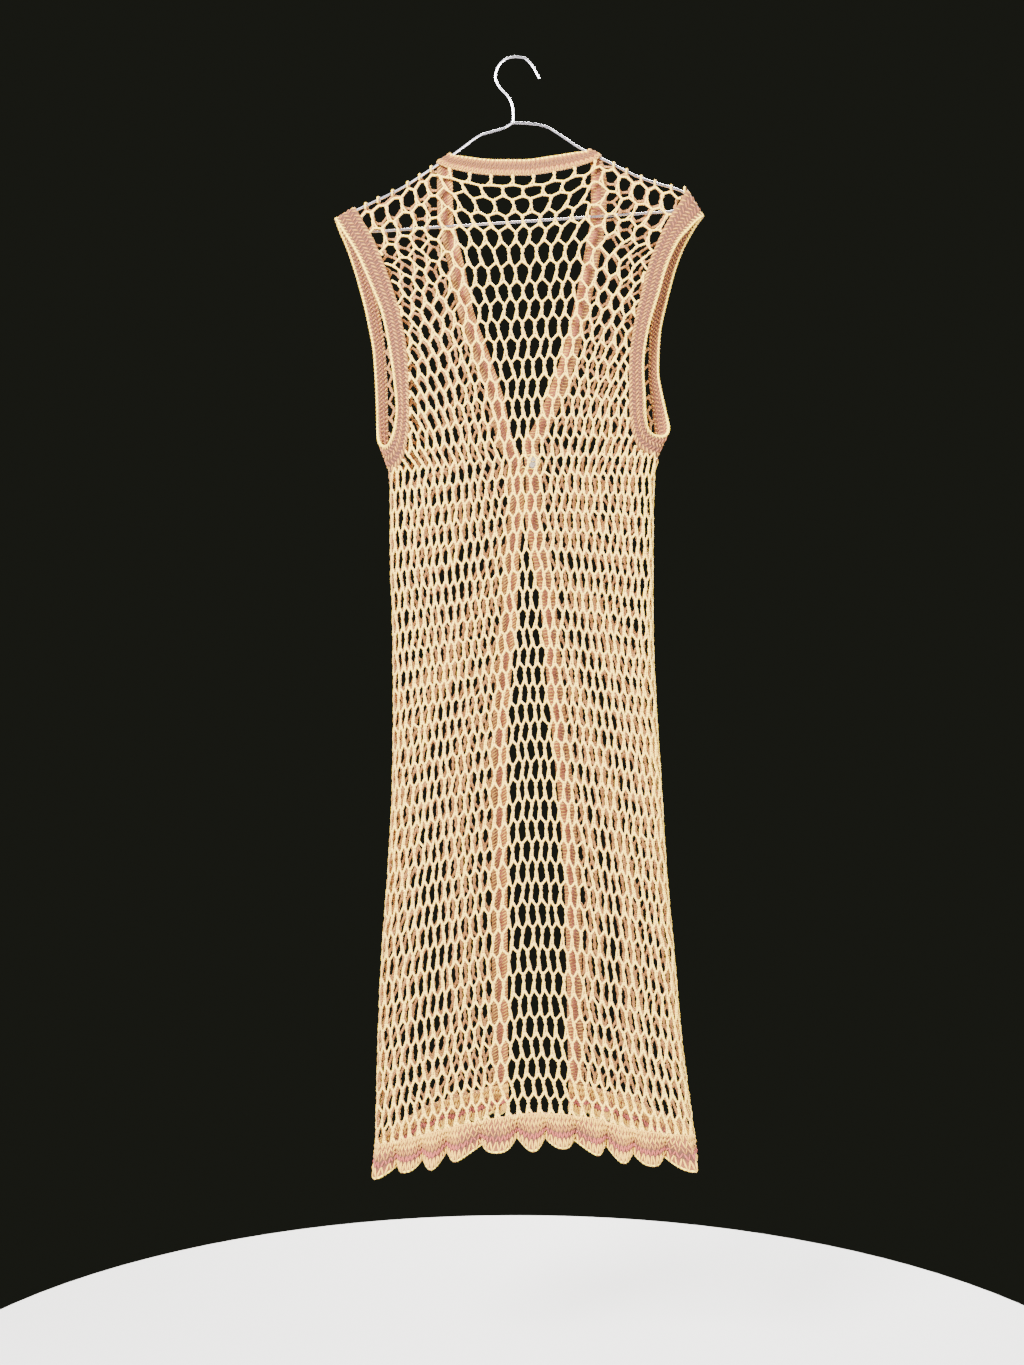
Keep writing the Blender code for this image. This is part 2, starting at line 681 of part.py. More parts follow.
def build_button(material):
    """A round sew-through button with a dished face, on the inner face of the right front's band."""
    x, drop = BUTTON_X, BUTTON_DROP
    seat = min(depth(FRONT, x + across, drop) for across in (-BUTTON_RADIUS, BUTTON_RADIUS))
    seat -= WALL / 2 + SEAM
    back, face = 0.0, BUTTON_THICKNESS
    profile = [
        (0.0, back),
        (BUTTON_RADIUS - 0.9, back),
        (BUTTON_RADIUS, back + 0.7),
        (BUTTON_RADIUS, face - 0.6),
        (BUTTON_RADIUS - 0.8, face),
        (BUTTON_RADIUS - 2.2, face - 0.2),
        (BUTTON_RADIUS - 3.2, face - BUTTON_DISH),
        (0.0, face - BUTTON_DISH),
    ]
    turned = bmesh.new()
    corners = [turned.verts.new(Vector((radius, -out, 0)) * MM) for radius, out in profile]
    edges = [turned.edges.new(pair) for pair in zip(corners, corners[1:])]
    bmesh.ops.spin(
        turned, geom=corners + edges, axis=(0, 1, 0), cent=(0, 0, 0), angle=math.tau, steps=28, use_merge=True
    )
    bmesh.ops.remove_doubles(turned, verts=turned.verts, dist=1e-6)
    bmesh.ops.recalc_face_normals(turned, faces=turned.faces)
    mesh = bpy.data.meshes.new("button")
    turned.to_mesh(mesh)
    turned.free()
    mesh.shade_smooth()
    mesh.set_sharp_from_angle(angle=math.radians(40))
    mesh.materials.append(material)
    button = bpy.data.objects.new("button", mesh)
    button.location = Vector((x, seat, -drop)) * MM
    bpy.context.collection.objects.link(button)
    for number, across in enumerate((-0.5, 0.5)):
        drill = bmesh.new()
        bmesh.ops.create_cone(
            drill,
            cap_ends=True,
            segments=12,
            radius1=BUTTON_HOLE_RADIUS * MM,
            radius2=BUTTON_HOLE_RADIUS * MM,
            depth=3 * BUTTON_THICKNESS * MM,
        )
        cutter_mesh = bpy.data.meshes.new(f"button_drill_{number}")
        drill.to_mesh(cutter_mesh)
        drill.free()
        cutter = bpy.data.objects.new(f"button_drill_{number}", cutter_mesh)
        cutter.rotation_euler = (math.radians(90), 0, 0)
        cutter.location = button.location + Vector((BUTTON_HOLE_SPACING * across * MM, 0, 0))
        cutter.hide_render = True
        cutter.display_type = "WIRE"
        bpy.context.collection.objects.link(cutter)
        cut = button.modifiers.new("sewing hole", "BOOLEAN")
        cut.object = cutter
        cut.operation = "DIFFERENCE"
        cut.solver = "EXACT"


def wire(name, points, cyclic, material):
    """Round wire along points given as (x, drop), in the plane of the hanger."""
    line = bpy.data.curves.new(name, "CURVE")
    line.dimensions = "3D"
    line.bevel_depth = WIRE / 2 * MM
    line.bevel_resolution = 2
    line.use_fill_caps = not cyclic
    spline = line.splines.new("POLY")
    spline.points.add(len(points) - 1)
    for knot, (x, drop) in zip(spline.points, points):
        knot.co = (x * MM, 0, -drop * MM, 1)
    spline.use_cyclic_u = cyclic
    line.materials.append(material)
    thing = bpy.data.objects.new(name, line)
    bpy.context.collection.objects.link(thing)


def corner_bend(start, corner, end):
    """Points of the rounded end of the hanger, a cubic curve between an arm and the bar."""
    (in_x, in_drop), (out_x, out_drop), bulge = corner
    a, d = Vector(start), Vector(end)
    b = a + Vector((in_x, in_drop)) * bulge
    c = d + Vector((out_x, out_drop)) * bulge
    points = []
    for k in range(1, CORNER_STEPS):
        t = k / CORNER_STEPS
        points.append(a * (1 - t) ** 3 + 3 * b * t * (1 - t) ** 2 + 3 * c * t * t * (1 - t) + d * t**3)
    return [(p.x, p.y) for p in points]


def build_hanger(material):
    """A wire hanger: one closed loop of wire, and the hook that stands on its top."""
    path = []
    for a, b in zip(ARMS, ARMS[1:]):
        steps = max(2, round((b["x"] - a["x"]) / WIRE_STEP))
        path += [blend(a["x"], b["x"], k / steps) for k in range(steps)]
    path = [(x, arm_drop(x)) for x in path] + [(ARMS[-1]["x"], ARMS[-1]["drop"])]
    left_end = path[0]
    path += corner_bend(path[-1], CORNER_RIGHT, BAR_RIGHT)
    for k in range(BAR_STEPS + 1):
        t = k / BAR_STEPS
        path.append((blend(BAR_RIGHT[0], BAR_LEFT[0], t), blend(BAR_RIGHT[1], BAR_LEFT[1], t)))
    path += reversed(corner_bend(left_end, CORNER_LEFT, BAR_LEFT))
    wire("hanger_frame", path, True, material)

    travelled = table("at x drop", *[(k, row["x"], row["drop"]) for k, row in enumerate(HOOK)])
    hook_x, hook_drop = curve(travelled, "at", "x"), curve(travelled, "at", "drop")
    reach = len(HOOK) - 1
    path = [(hook_x(reach * k / HOOK_STEPS), hook_drop(reach * k / HOOK_STEPS)) for k in range(HOOK_STEPS + 1)]
    shank_x = HOOK[-1]["x"]
    path.append((shank_x, arm_drop(shank_x + WIRE / 2) - WIRE / 2 - SEAM))
    wire("hanger_hook", path, False, material)


def main():
    for thing in list(bpy.data.objects):
        bpy.data.objects.remove(thing, do_unlink=True)

    net = finish("net yarn", (0.80, 0.70, 0.47), 0.85)
    bands = finish("band yarn", (0.68, 0.42, 0.33), 0.85)
    shell = finish("shell button", (0.72, 0.71, 0.68), 0.25)
    steel = finish("hanger wire", (0.62, 0.60, 0.66), 0.30, 0.9)

    build_hanger(steel)
    back, neck_seam = build_back(net)
    build_neck_band(neck_seam, bands)
    front_left, opening_edge_left = build_front("front_left", True, net)
    front_right, opening_edge_right = build_front("front_right", False, net)
    foot_left = build_front_band(
        "front_band_left", [row[-1] for row in front_left], opening_edge_left, bands
    )
    foot_right = build_front_band(
        "front_band_right", [row[0] for row in front_right], opening_edge_right, bands
    )
    build_armhole_band(
        "armhole_band_left", LEFT_ARMHOLE, [r[0] for r in back], [r[0] for r in front_left], bands
    )
    build_armhole_band(
        "armhole_band_right", RIGHT_ARMHOLE, [r[-1] for r in back], [r[-1] for r in front_right], bands
    )
    ruffle("hem_ruffle_back", back[-1], BACK_LOBES, bands)
    ruffle("hem_ruffle_left", front_left[-1] + [foot_left[1]], LEFT_LOBES, bands)
    ruffle("hem_ruffle_right", [foot_right[1]] + front_right[-1], RIGHT_LOBES, bands)
    build_button(shell)


main()
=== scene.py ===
"""Looks of a long crochet-net vest with an open front, hanging on a thin wire hanger.

Sizes are in millimetres, and every height is a drop, measured down from the inside of the hook.
The nets and bands repeat the part's own tables of sizes, so that yarn lies where its walls are.
The ruffles have the part's edges and lobes, and wave further.
"""

import math

import bpy
import numpy as np
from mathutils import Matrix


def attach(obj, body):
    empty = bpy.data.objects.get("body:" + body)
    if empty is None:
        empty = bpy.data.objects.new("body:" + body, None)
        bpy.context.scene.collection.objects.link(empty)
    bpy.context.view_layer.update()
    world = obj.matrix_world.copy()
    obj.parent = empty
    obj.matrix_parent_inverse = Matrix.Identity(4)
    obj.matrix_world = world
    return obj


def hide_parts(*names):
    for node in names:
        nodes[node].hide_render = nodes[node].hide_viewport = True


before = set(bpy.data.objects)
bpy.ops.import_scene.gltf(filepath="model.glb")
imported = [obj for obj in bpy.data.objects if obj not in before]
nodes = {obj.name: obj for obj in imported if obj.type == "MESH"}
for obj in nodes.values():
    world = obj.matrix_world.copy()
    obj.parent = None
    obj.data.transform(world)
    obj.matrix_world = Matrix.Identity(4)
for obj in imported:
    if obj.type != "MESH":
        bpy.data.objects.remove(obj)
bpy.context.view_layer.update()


# --- Back net, upper half -----------------------------------------------------------------------
# Rows of double-strand posts hang between lines of chain stitches, every row half a column out of
# step with the one above.  The first row hangs over the hanger's wire and from the neck band.

MM = 0.001
BACK, FRONT = -1, 1
SIDE_FOLD = 25.0
CLOTH_OVER_WIRE = 3.6
CLOTH_BESIDE_WIRE = 3.1
SHOULDER_EASE = 90.0
TOP_CORNER, HEM_CORNER = 174.3, 1264.5
TOP_RIGHT_CORNER, HEM_RIGHT_CORNER = 153.6, 1253.0
UNDERARM = 0.284


def table(columns, *rows):
    names = columns.split()
    return [dict(zip(names, row)) for row in rows]


def curve(rows, key, value):
    """A smooth curve through two columns of a table, with no overshoot between its rows."""
    at = np.array([row[key] for row in rows], float)
    out = np.array([row[value] for row in rows], float)
    secant = np.diff(out) / np.diff(at)
    inner = [0.0 if a * b <= 0 else 2 * a * b / (a + b) for a, b in zip(secant, secant[1:])]
    slope = np.array([secant[0], *inner, secant[-1]])

    def read(t):
        t = np.clip(t, at[0], at[-1])
        i = np.clip(np.searchsorted(at, t, side="right") - 1, 0, len(at) - 2)
        width = at[i + 1] - at[i]
        s = (t - at[i]) / width
        ends = out[i] * (1 + 2 * s) * (1 - s) ** 2 + out[i + 1] * s * s * (3 - 2 * s)
        return ends + width * s * (1 - s) * (slope[i] * (1 - s) - slope[i + 1] * s)

    return read


def blend(a, b, t):
    return a + (b - a) * t


def ease(t):
    t = np.clip(t, 0.0, 1.0)
    return t * t * (3 - 2 * t)


def quarter_round(t):
    return np.sqrt(1 - (1 - np.clip(t, 0.0, 1.0)) ** 2)


def unit(vectors):
    return vectors / np.maximum(np.linalg.norm(vectors, axis=-1, keepdims=True), 1e-9)


ARMS = table(
    "x drop",
    (-186, 177.0),
    (-133, 150.8),
    (-94, 125.5),
    (-71, 110.3),
    (-58, 100.5),
    (-46, 92.0),
    (-39, 88.5),
    (-28, 85.5),
    (-14, 81.2),
    (-8, 77.4),
    (-3, 75.5),
    (9, 76.0),
    (24, 77.5),
    (36, 81.0),
    (44, 86.0),
    (57, 94.5),
    (71, 104.0),
    (100, 118.2),
    (147, 141.0),
    (188, 153.5),
)
TOP_LEFT = table("x drop", (-212.6, 188.5), (-189.0, 174.3), (-186.0, 173.4))
TOP_RIGHT = table("x drop", (188.0, 149.9), (198.0, 153.6), (217.0, 185.5))
HALF_GAP = table(
    "drop gap", (60, 6.0), (250, 7.5), (455, 12.0), (800, 14.0), (1100, 17.0), (1270, 19.0)
)
LEFT_SIDE = table(
    "drop x",
    (200, -240.0),
    (385, -205.0),
    (447, -168.0),
    (470, -154.0),
    (484, -147.5),
    (503, -147.0),
    (585, -147.0),
    (655, -144.5),
    (750, -143.5),
    (842, -144.5),
    (935, -149.0),
    (1052, -157.5),
    (1134, -161.0),
    (1270, -164.5),
)
RIGHT_SIDE = table(
    "drop x",
    (200, 250.0),
    (385, 208.0),
    (428, 184.0),
    (452, 169.5),
    (466, 163.0),
    (484, 160.0),
    (503, 158.5),
    (585, 157.5),
    (655, 157.5),
    (750, 161.0),
    (842, 167.0),
    (935, 172.5),
    (1052, 183.0),
    (1134, 190.0),
    (1270, 208.0),
)
LEFT_ARMHOLE = table(
    "drop back_net back_rim back_rim_drop front_net front_rim front_rim_drop turn",
    (174.3, -189.0, -212.6, 188.5, -189.0, -212.6, 188.5, 1.0),
    (190, -180.0, -204.0, 202.0, -188.0, -207.5, 202.5, 1.0),
    (206, -170.5, -194.5, 216.5, -184.0, -202.0, 215.0, 1.0),
    (232, -158.5, -184.0, 235.5, -178.0, -194.5, 235.0, 1.0),
    (264, -146.5, -170.5, 267.0, -168.5, -185.5, 264.0, 1.0),
    (301, -135.5, -157.5, 300.0, -160.0, -176.5, 300.0, 1.0),
    (345, -128.0, -149.0, 342.0, -154.0, -168.5, 345.0, 1.0),
    (385, -126.0, -143.5, 378.0, -152.0, -166.0, 386.0, 1.0),
    (420, -125.5, -140.8, 409.0, -151.5, -165.0, 414.0, 1.0),
    (447, -127.5, -143.0, 431.0, -150.8, -164.3, 431.0, 0.97),
    (470, -133.5, -147.5, 446.0, -150.0, -162.8, 442.0, 0.8),
    (480, -140.5, -152.0, 451.4, -148.6, -160.5, 448.0, 0.42),
    (484, -147.5, -156.8, 451.6, -147.5, -156.8, 451.6, 0.0),
)
RIGHT_ARMHOLE = table(
    "drop back_net back_rim back_rim_drop front_net front_rim front_rim_drop turn",
    (153.6, 198.0, 217.0, 185.5, 198.0, 217.0, 185.5, 1.0),
    (170, 188.5, 208.0, 192.5, 195.0, 211.0, 193.0, 1.0),
    (186, 178.0, 199.5, 202.0, 191.0, 205.0, 202.5, 1.0),
    (210, 165.5, 189.0, 214.0, 183.5, 198.0, 215.0, 1.0),
    (243, 152.5, 176.5, 239.0, 172.0, 186.8, 242.0, 1.0),
    (280, 143.0, 165.0, 277.0, 162.0, 177.0, 278.0, 1.0),
    (325, 133.5, 152.0, 323.0, 155.0, 167.8, 322.0, 1.0),
    (365, 130.0, 147.2, 362.0, 154.0, 166.0, 362.0, 1.0),
    (400, 130.0, 148.8, 391.0, 157.3, 171.0, 392.0, 1.0),
    (428, 131.8, 149.3, 412.0, 160.5, 175.5, 413.0, 0.97),
    (452, 138.5, 151.5, 430.0, 162.7, 178.0, 429.0, 0.8),
    (462, 152.0, 160.0, 439.3, 163.4, 175.5, 437.0, 0.42),
    (466, 163.0, 170.0, 440.0, 163.0, 170.0, 440.0, 0.0),
)
NECK = table(
    "x drop upper_x upper_drop",
    (-94.0, 121.9, -77.5, 111.0),
    (-93.4, 122.6, -77.0, 111.8),
    (-92.0, 124.4, -75.9, 113.6),
    (-76.0, 130.3, -63.0, 115.6),
    (-31.0, 137.8, -26.0, 119.6),
    (8.0, 138.5, 7.0, 119.8),
    (47.0, 133.0, 42.0, 115.1),
    (82.0, 123.5, 70.0, 110.6),
    (95.5, 117.3, 81.3, 109.2),
    (97.3, 114.5, 82.5, 107.2),
    (98.0, 113.7, 83.0, 106.3),
)
BACK_HEM = table(
    "x drop",
    (-165, 1264.5),
    (-124, 1253),
    (-69, 1241),
    (-20, 1230),
    (30, 1225),
    (88, 1232),
    (120, 1240),
    (160, 1247),
    (208, 1253),
)
FOLDS = table(
    "side x lean top width depth",
    (BACK, -118, 12, 900, 26, 3.5),
    (BACK, -66, -18, 760, 34, -4.5),
    (BACK, -24, -10, 860, 24, 3.0),
    (BACK, 36, 8, 820, 30, 3.5),
    (BACK, 92, 6, 940, 34, -3.5),
    (BACK, 146, 16, 880, 28, 3.0),
    (FRONT, -104, 8, 800, 34, 4.0),
    (FRONT, -52, -8, 900, 26, -3.0),
    (FRONT, 104, 10, 860, 32, 4.0),
    (FRONT, 150, 14, 960, 24, -3.0),
)

arm_drop = curve(ARMS, "x", "drop")
half_gap = curve(HALF_GAP, "drop", "gap")
side_left = curve(LEFT_SIDE, "drop", "x")
side_right = curve(RIGHT_SIDE, "drop", "x")
neck_lower = curve(NECK, "x", "drop")
back_hem = curve(BACK_HEM, "x", "drop")


def fold_drop(x):
    """Drop of the shoulder's top line: over the wire, and past its ends straight to the bands' tips."""
    x = np.asarray(x, float)
    left = np.interp(x, [row["x"] for row in TOP_LEFT], [row["drop"] for row in TOP_LEFT])
    right = np.interp(x, [row["x"] for row in TOP_RIGHT], [row["drop"] for row in TOP_RIGHT])
    on_arms = np.where(x > TOP_RIGHT[0]["x"], right, arm_drop(x) - CLOTH_OVER_WIRE)
    return np.where(x < TOP_LEFT[-1]["x"], left, on_arms)


def soft_folds(side, x, drop):
    swing = np.zeros(np.broadcast(x, drop).shape)
    for fold in FOLDS:
        if fold["side"] == side:
            grown = ease((drop - fold["top"]) / (HEM_CORNER - fold["top"]))
            middle = fold["x"] - fold["lean"] * (1 - grown)
            swing = swing + fold["depth"] * grown * np.exp(-2 * ((x - middle) / fold["width"]) ** 2)
    return swing


def depth(side, x, drop):
    """Distance of a layer from the middle plane: 0 on the shoulder line and on the side folds."""
    below = drop - fold_drop(x)
    over_wire = CLOTH_BESIDE_WIRE * quarter_round(below / CLOTH_OVER_WIRE)
    parted = (half_gap(drop) - CLOTH_BESIDE_WIRE) * ease(below / SHOULDER_EASE)
    inward = np.minimum(x - side_left(drop), side_right(drop) - x)
    return (over_wire + parted + soft_folds(side, x, drop)) * quarter_round(inward / SIDE_FOLD)


def on_cloth(side, x, drop):
    """Points of a layer's middle surface and their outward normals."""
    step = 0.3
    along = (depth(side, x + step, drop) - depth(side, x - step, drop)) / (2 * step)
    down = (depth(side, x, drop + step) - depth(side, x, drop - step)) / (2 * step)
    point = np.stack([x, side * depth(side, x, drop), -drop], -1)
    return point, unit(np.stack([-along, np.full(np.shape(along), float(side)), down], -1))


def outline(armhole, column, sides):
    """An edge of a panel: down the armhole band, and below it down the side fold."""
    band = curve(armhole, "drop", column)
    foot = armhole[-1]["drop"]
    return lambda drop: np.where(drop < foot, band(drop), sides(drop))


# Columns of the net are counted from the middle of the back, and meet the fronts' in the side folds.
FOLD_COLUMN = 17.25
COLUMN_PITCH = table(
    "v pitch",
    (0, 20.5),
    (0.047, 18.8),
    (0.0645, 18.4),
    (0.083, 16.8),
    (0.1013, 16.0),
    (0.119, 15.3),
    (0.1345, 14.7),
    (0.174, 13.4),
    (0.22, 12.0),
    (0.25, 11.2),
    (0.3, 10.5),
)
TOP_COLUMNS = table(
    "column x",
    (-FOLD_COLUMN, -320),
    (-10.43, -189),
    (-9.5, -176),
    (-8.5, -161.6),
    (-7.5, -144.7),
    (-6.5, -127.2),
    (-5.5, -113.2),
    (-4.5, -99.7),
    (-3.5, -79),
    (-2.5, -55),
    (0, 7),
    (2.5, 67),
    (3.5, 91),
    (4.5, 113),
    (5.5, 128),
    (6.5, 145),
    (7.5, 161),
    (8.5, 180),
    (9.66, 198),
    (FOLD_COLUMN, 330),
)
ROW_PITCH = table(
    "row pitch",
    (10, 19.3),
    (13, 20.4),
    (16, 22.8),
    (19, 23.7),
    (24, 23.6),
    (28, 22.4),
    (31, 22.6),
    (34, 24.6),
    (38, 24.8),
    (42, 27.6),
    (45, 24),
    (49, 19.8),
)
FIRST_LINES = [0.0, 0.0118, 0.027, 0.047, 0.0645, 0.083, 0.1013, 0.119, 0.1345, 0.151]
LINES = 50
pitches = curve(ROW_PITCH, "row", "pitch")(np.arange(10, LINES))
line_v = np.append(FIRST_LINES, FIRST_LINES[-1] + np.cumsum(pitches) / pitches.sum() * (1 - FIRST_LINES[-1]))
column_pitch = curve(COLUMN_PITCH, "v", "pitch")
column_x = curve(TOP_COLUMNS, "column", "x")

# Distance along the cloth round a side fold, against the distance across that it covers.
FOLD_DEPTH = 14.0
fold_angle = np.linspace(0, math.pi / 2, 40)
fold_across = SIDE_FOLD * (1 - np.cos(fold_angle))
fold_steps = np.hypot(np.diff(fold_across), np.diff(FOLD_DEPTH * np.sin(fold_angle)))
fold_around = np.append(0.0, np.cumsum(fold_steps))
FOLD_EXTRA = fold_around[-1] - SIDE_FOLD


def round_fold(distance):
    """Distance across from a side fold, for a distance along the cloth from it."""
    return np.where(
        distance < fold_around[-1], np.interp(distance, fold_around, fold_across), distance - FOLD_EXTRA
    )


CROWDING = 0.12  # how much wider the middle columns are spread than the mean
MIDDLE_X = 6.3  # where the middle column hangs above the underarms
HITCH = 5.0  # how much higher the rows hang right of the middle, from the underarms down


def back_x(column, v):
    """Distance across of a column at a level v, before the armholes cut the cloth off."""
    share = column / FOLD_COLUMN
    share = share + CROWDING / math.pi * np.sin(math.pi * share)
    left = side_left(blend(TOP_CORNER, HEM_CORNER, v))
    right = side_right(blend(TOP_RIGHT_CORNER, HEM_RIGHT_CORNER, v))
    below_arms = ease((v - 0.24) / 0.044)
    half = blend(
        column_pitch(v) * FOLD_COLUMN / (1 + CROWDING), (right - left) / 2 + FOLD_EXTRA, below_arms
    )
    middle = blend(MIDDLE_X, (left + right) / 2, below_arms)
    flat = middle + half * share
    in_left = left + round_fold(np.maximum(flat - left + FOLD_EXTRA, 0))
    in_right = right - round_fold(np.maximum(right + FOLD_EXTRA - flat, 0))
    return blend(column_x(column), np.where(share < 0, in_left, in_right), ease(v / 0.07))


def back_place(column, v):
    """Where a column of the back crosses a level v, from 0 at the shoulders to 1 at the hem."""
    drop_left = blend(TOP_CORNER, HEM_CORNER, v)
    drop_right = blend(TOP_RIGHT_CORNER, HEM_RIGHT_CORNER, v)
    left, right = back_left(drop_left), back_right(drop_right)
    width = right - left
    u = np.clip((back_x(column, v) - left) / width, 0, 1)
    top_x = blend(TOP_LEFT[1]["x"], TOP_RIGHT[1]["x"], u)
    in_neck = (top_x > NECK[0]["x"]) & (top_x < NECK[-1]["x"])
    across_neck = np.interp(
        top_x, [NECK[0]["x"], NECK[-1]["x"]], [NECK[0]["drop"], NECK[-1]["drop"]]
    )
    shoulder = np.where(in_neck, across_neck, fold_drop(top_x)) - blend(TOP_CORNER, TOP_RIGHT_CORNER, u)
    dip = np.where(in_neck, neck_lower(top_x) - across_neck, 0.0)
    hem = back_hem(blend(BACK_HEM[0]["x"], BACK_HEM[-1]["x"], u)) - blend(HEM_CORNER, HEM_RIGHT_CORNER, u)
    drop = blend(drop_left, drop_right, u) + shoulder * (1 - ease(v / UNDERARM))
    hitched = ease((u - 0.38) / 0.12) * ease((1 - u) / 0.2) * ease((v - 0.25) / 0.12) * ease((1 - v) / 0.12)
    drop = drop + dip * (1 - ease(v / 0.1)) + hem * ease(v) - HITCH * hitched
    return left + width * u, drop


back_left = outline(LEFT_ARMHOLE, "back_net", side_left)
back_right = outline(RIGHT_ARMHOLE, "back_net", side_right)
levels = np.linspace(0, 1, 801)
all_columns = np.linspace(-FOLD_COLUMN, FOLD_COLUMN, 691)
first_columns, last_columns = [], []
for level in levels:
    row_x = back_x(all_columns, level)
    first_x = float(back_left(blend(TOP_CORNER, HEM_CORNER, level)))
    last_x = float(back_right(blend(TOP_RIGHT_CORNER, HEM_RIGHT_CORNER, level)))
    first_columns.append(np.interp(first_x, row_x, all_columns))
    last_columns.append(np.interp(last_x, row_x, all_columns))


def back_limits(v):
    """The first and the last column that the armholes and the side folds leave at a level."""
    return np.interp(v, levels, first_columns), np.interp(v, levels, last_columns)


SHOULDER_COLUMN = 4.1  # outside it the first posts go over the wire, inside it to the neck band
FIRST_ARCS = (4.1, 1.6)  # how much higher the shoulders' first arcs hang, at a post and halfway
EYE = 5.6  # how far from its post the loose strand of a post's foot lands on the chain
EYE_ROOM = 0.27  # and the widest share of a column that it may take
STRAND = 1.14
CHAIN = 1.5
SINK = table("line sink", (1, 2.4), (2, 4.4), (3, 5.2), (5, 7.6), (20, 7.4), (42, 8.6))
chain_sink = curve(SINK, "line", "sink")


def chain_shape(t, line):
    """How far a chain has sunk, from 0 at a post's foot to 1 halfway to the next one."""
    pointed = 0.75 * t + 0.25 * (1 - np.cos(math.pi * t)) / 2
    round_bottom = 0.45 * t + 0.55 * np.sin(math.pi / 2 * t)
    return blend(pointed, round_bottom, ease((line - 10) / 25))


def line_point(place, limits, shake, line, column):
    """Points of chain line number line, with the way that the cloth faces there."""
    t = 2 * np.abs((column - (line % 2) / 2 + 0.5) % 1 - 0.5)
    v = np.full(np.shape(column), line_v[line])
    x, drop = place(column, v)
    if line:
        drop = drop + chain_sink(line) * (chain_shape(t, line) - 0.5)
    if line == 1:
        hung = ease((np.abs(column) - SHOULDER_COLUMN) / 0.5)
        drop = drop - hung * blend(*FIRST_ARCS, chain_shape(t, line))
    low, high = limits(v)
    loose = ease(np.minimum(column - low, high - column)) * (line > 0)
    at = 2 * column + shake.shape[1] / 2
    i = np.floor(at).astype(int)
    moved = blend(shake[line, i], shake[line, i + 1], (at - i)[..., None]) * loose[..., None]
    return x + moved[..., 0], drop + moved[..., 1]


UNEVEN = (0.75, 0.7)  # how far the points of the net stray, across and down
SHORTEST_CHAIN = 0.04  # of a column
POST_LEVELS = 21  # at which a post is tested against the edges of the cloth
EDGE_MARGIN = 0.1  # how far inside the edges a post hangs, in columns
POST_SHARE = 0.25  # the least share of a post that has to be inside them
NARROWEST = 8.0  # the least pitch of the columns that the eye's share is worked out with
TIGHT_FOOT = 0.12  # share of the eye that the strand on the other side of a post takes
# Points down a post's strand: share of the post's height, distance aside, and out of the cloth.
POST_SHAPE = ((0.0, 0.7, 0.0), (0.2, 0.95, 0.3), (0.4, 0.2, 0.85), (0.58, -0.75, 0.4), (0.7, -0.4, 0.1))
LOOSE_ASIDE = -1.3  # where the last of these points stands on a loose strand


def net(side, place, limits, lines, seed):
    """Paths and facings of a net's chains and of its posts' strands."""
    shake = np.random.default_rng(seed).normal(0, UNEVEN, (LINES, 140, 2))
    chains, strands = [], []
    for line in lines:
        if line == 0:
            continue
        low, high = (float(edge) for edge in limits(line_v[line]))
        first = math.floor(low) - 1 + (line % 2) / 2
        starts = np.arange(first, high + 1, 1.0)
        ends = np.minimum(starts + 1, high)
        starts = np.maximum(starts, low)
        keep = ends - starts > SHORTEST_CHAIN
        starts, ends = starts[keep], ends[keep]
        columns = blend(starts[:, None], ends[:, None], np.linspace(0, 1, 9))
        chains.append(on_cloth(side, *line_point(place, limits, shake, line, columns)))
        between = blend(line_v[line], line_v[line - 1], np.linspace(0, 1, POST_LEVELS))
        lowest, highest = limits(between)
        column = np.arange(math.ceil(2 * lowest.min()), math.floor(2 * highest.max()) + 1) / 2
        column = column[np.abs((2 * column - line) % 2) < 0.5]
        held = (column[:, None] > lowest + EDGE_MARGIN) & (column[:, None] < highest - EDGE_MARGIN)
        keep = held.mean(1) > POST_SHARE
        keep &= (line > 1) | (np.abs(column) < SHOULDER_COLUMN)
        column, held = column[keep], held[keep]
        foot_cut, head_cut = ~held[:, 0], ~held[:, -1]
        foot_v = between[np.argmax(held, 1)]
        head_v = between[POST_LEVELS - 1 - np.argmax(held[:, ::-1], 1)]
        ends = []
        for cut, level_v, at in ((foot_cut, foot_v, line), (head_cut, head_v, line - 1)):
            whole, stopped = line_point(place, limits, shake, at, column), place(column, level_v)
            ends.append([np.where(cut, b, a) for a, b in zip(whole, stopped)])
        (foot_x, foot_drop), (head_x, head_drop) = ends
        head_drop = head_drop - 0.5
        level_v = line_v[line]
        pitch = 2 * np.abs(place(column + 0.25, level_v)[0] - place(column - 0.25, level_v)[0])
        eye = np.minimum(EYE / np.maximum(pitch, NARROWEST), EYE_ROOM)
        eye_hand = -1 if line % 2 else 1
        for hand in (-1, 1):
            loose = hand == eye_hand
            path, faces = [], []
            for t, aside, out in POST_SHAPE:
                if loose and t == POST_SHAPE[-1][0]:
                    aside = LOOSE_ASIDE
                point, facing = on_cloth(side, blend(head_x, foot_x, t), blend(head_drop, foot_drop, t))
                level = unit(np.cross(facing, (0.0, 0.0, 1.0)))
                path.append(point + hand * (aside * level + out * facing))
                faces.append(facing)
            foot = np.clip(column - hand * side * eye * (1 if loose else TIGHT_FOOT), low, high)
            landing = line_point(place, limits, shake, line, foot)
            landing = [np.where(foot_cut, a, b) for a, b in zip((foot_x, foot_drop), landing)]
            point, facing = on_cloth(side, *landing)
            path.append(blend(path[-1], point, 0.5) + 0.3 * facing)
            faces.append(facing)
            path.append(point)
            faces.append(facing)
            strands.append((np.stack(path, 1), np.stack(faces, 1)))
    return chains, strands


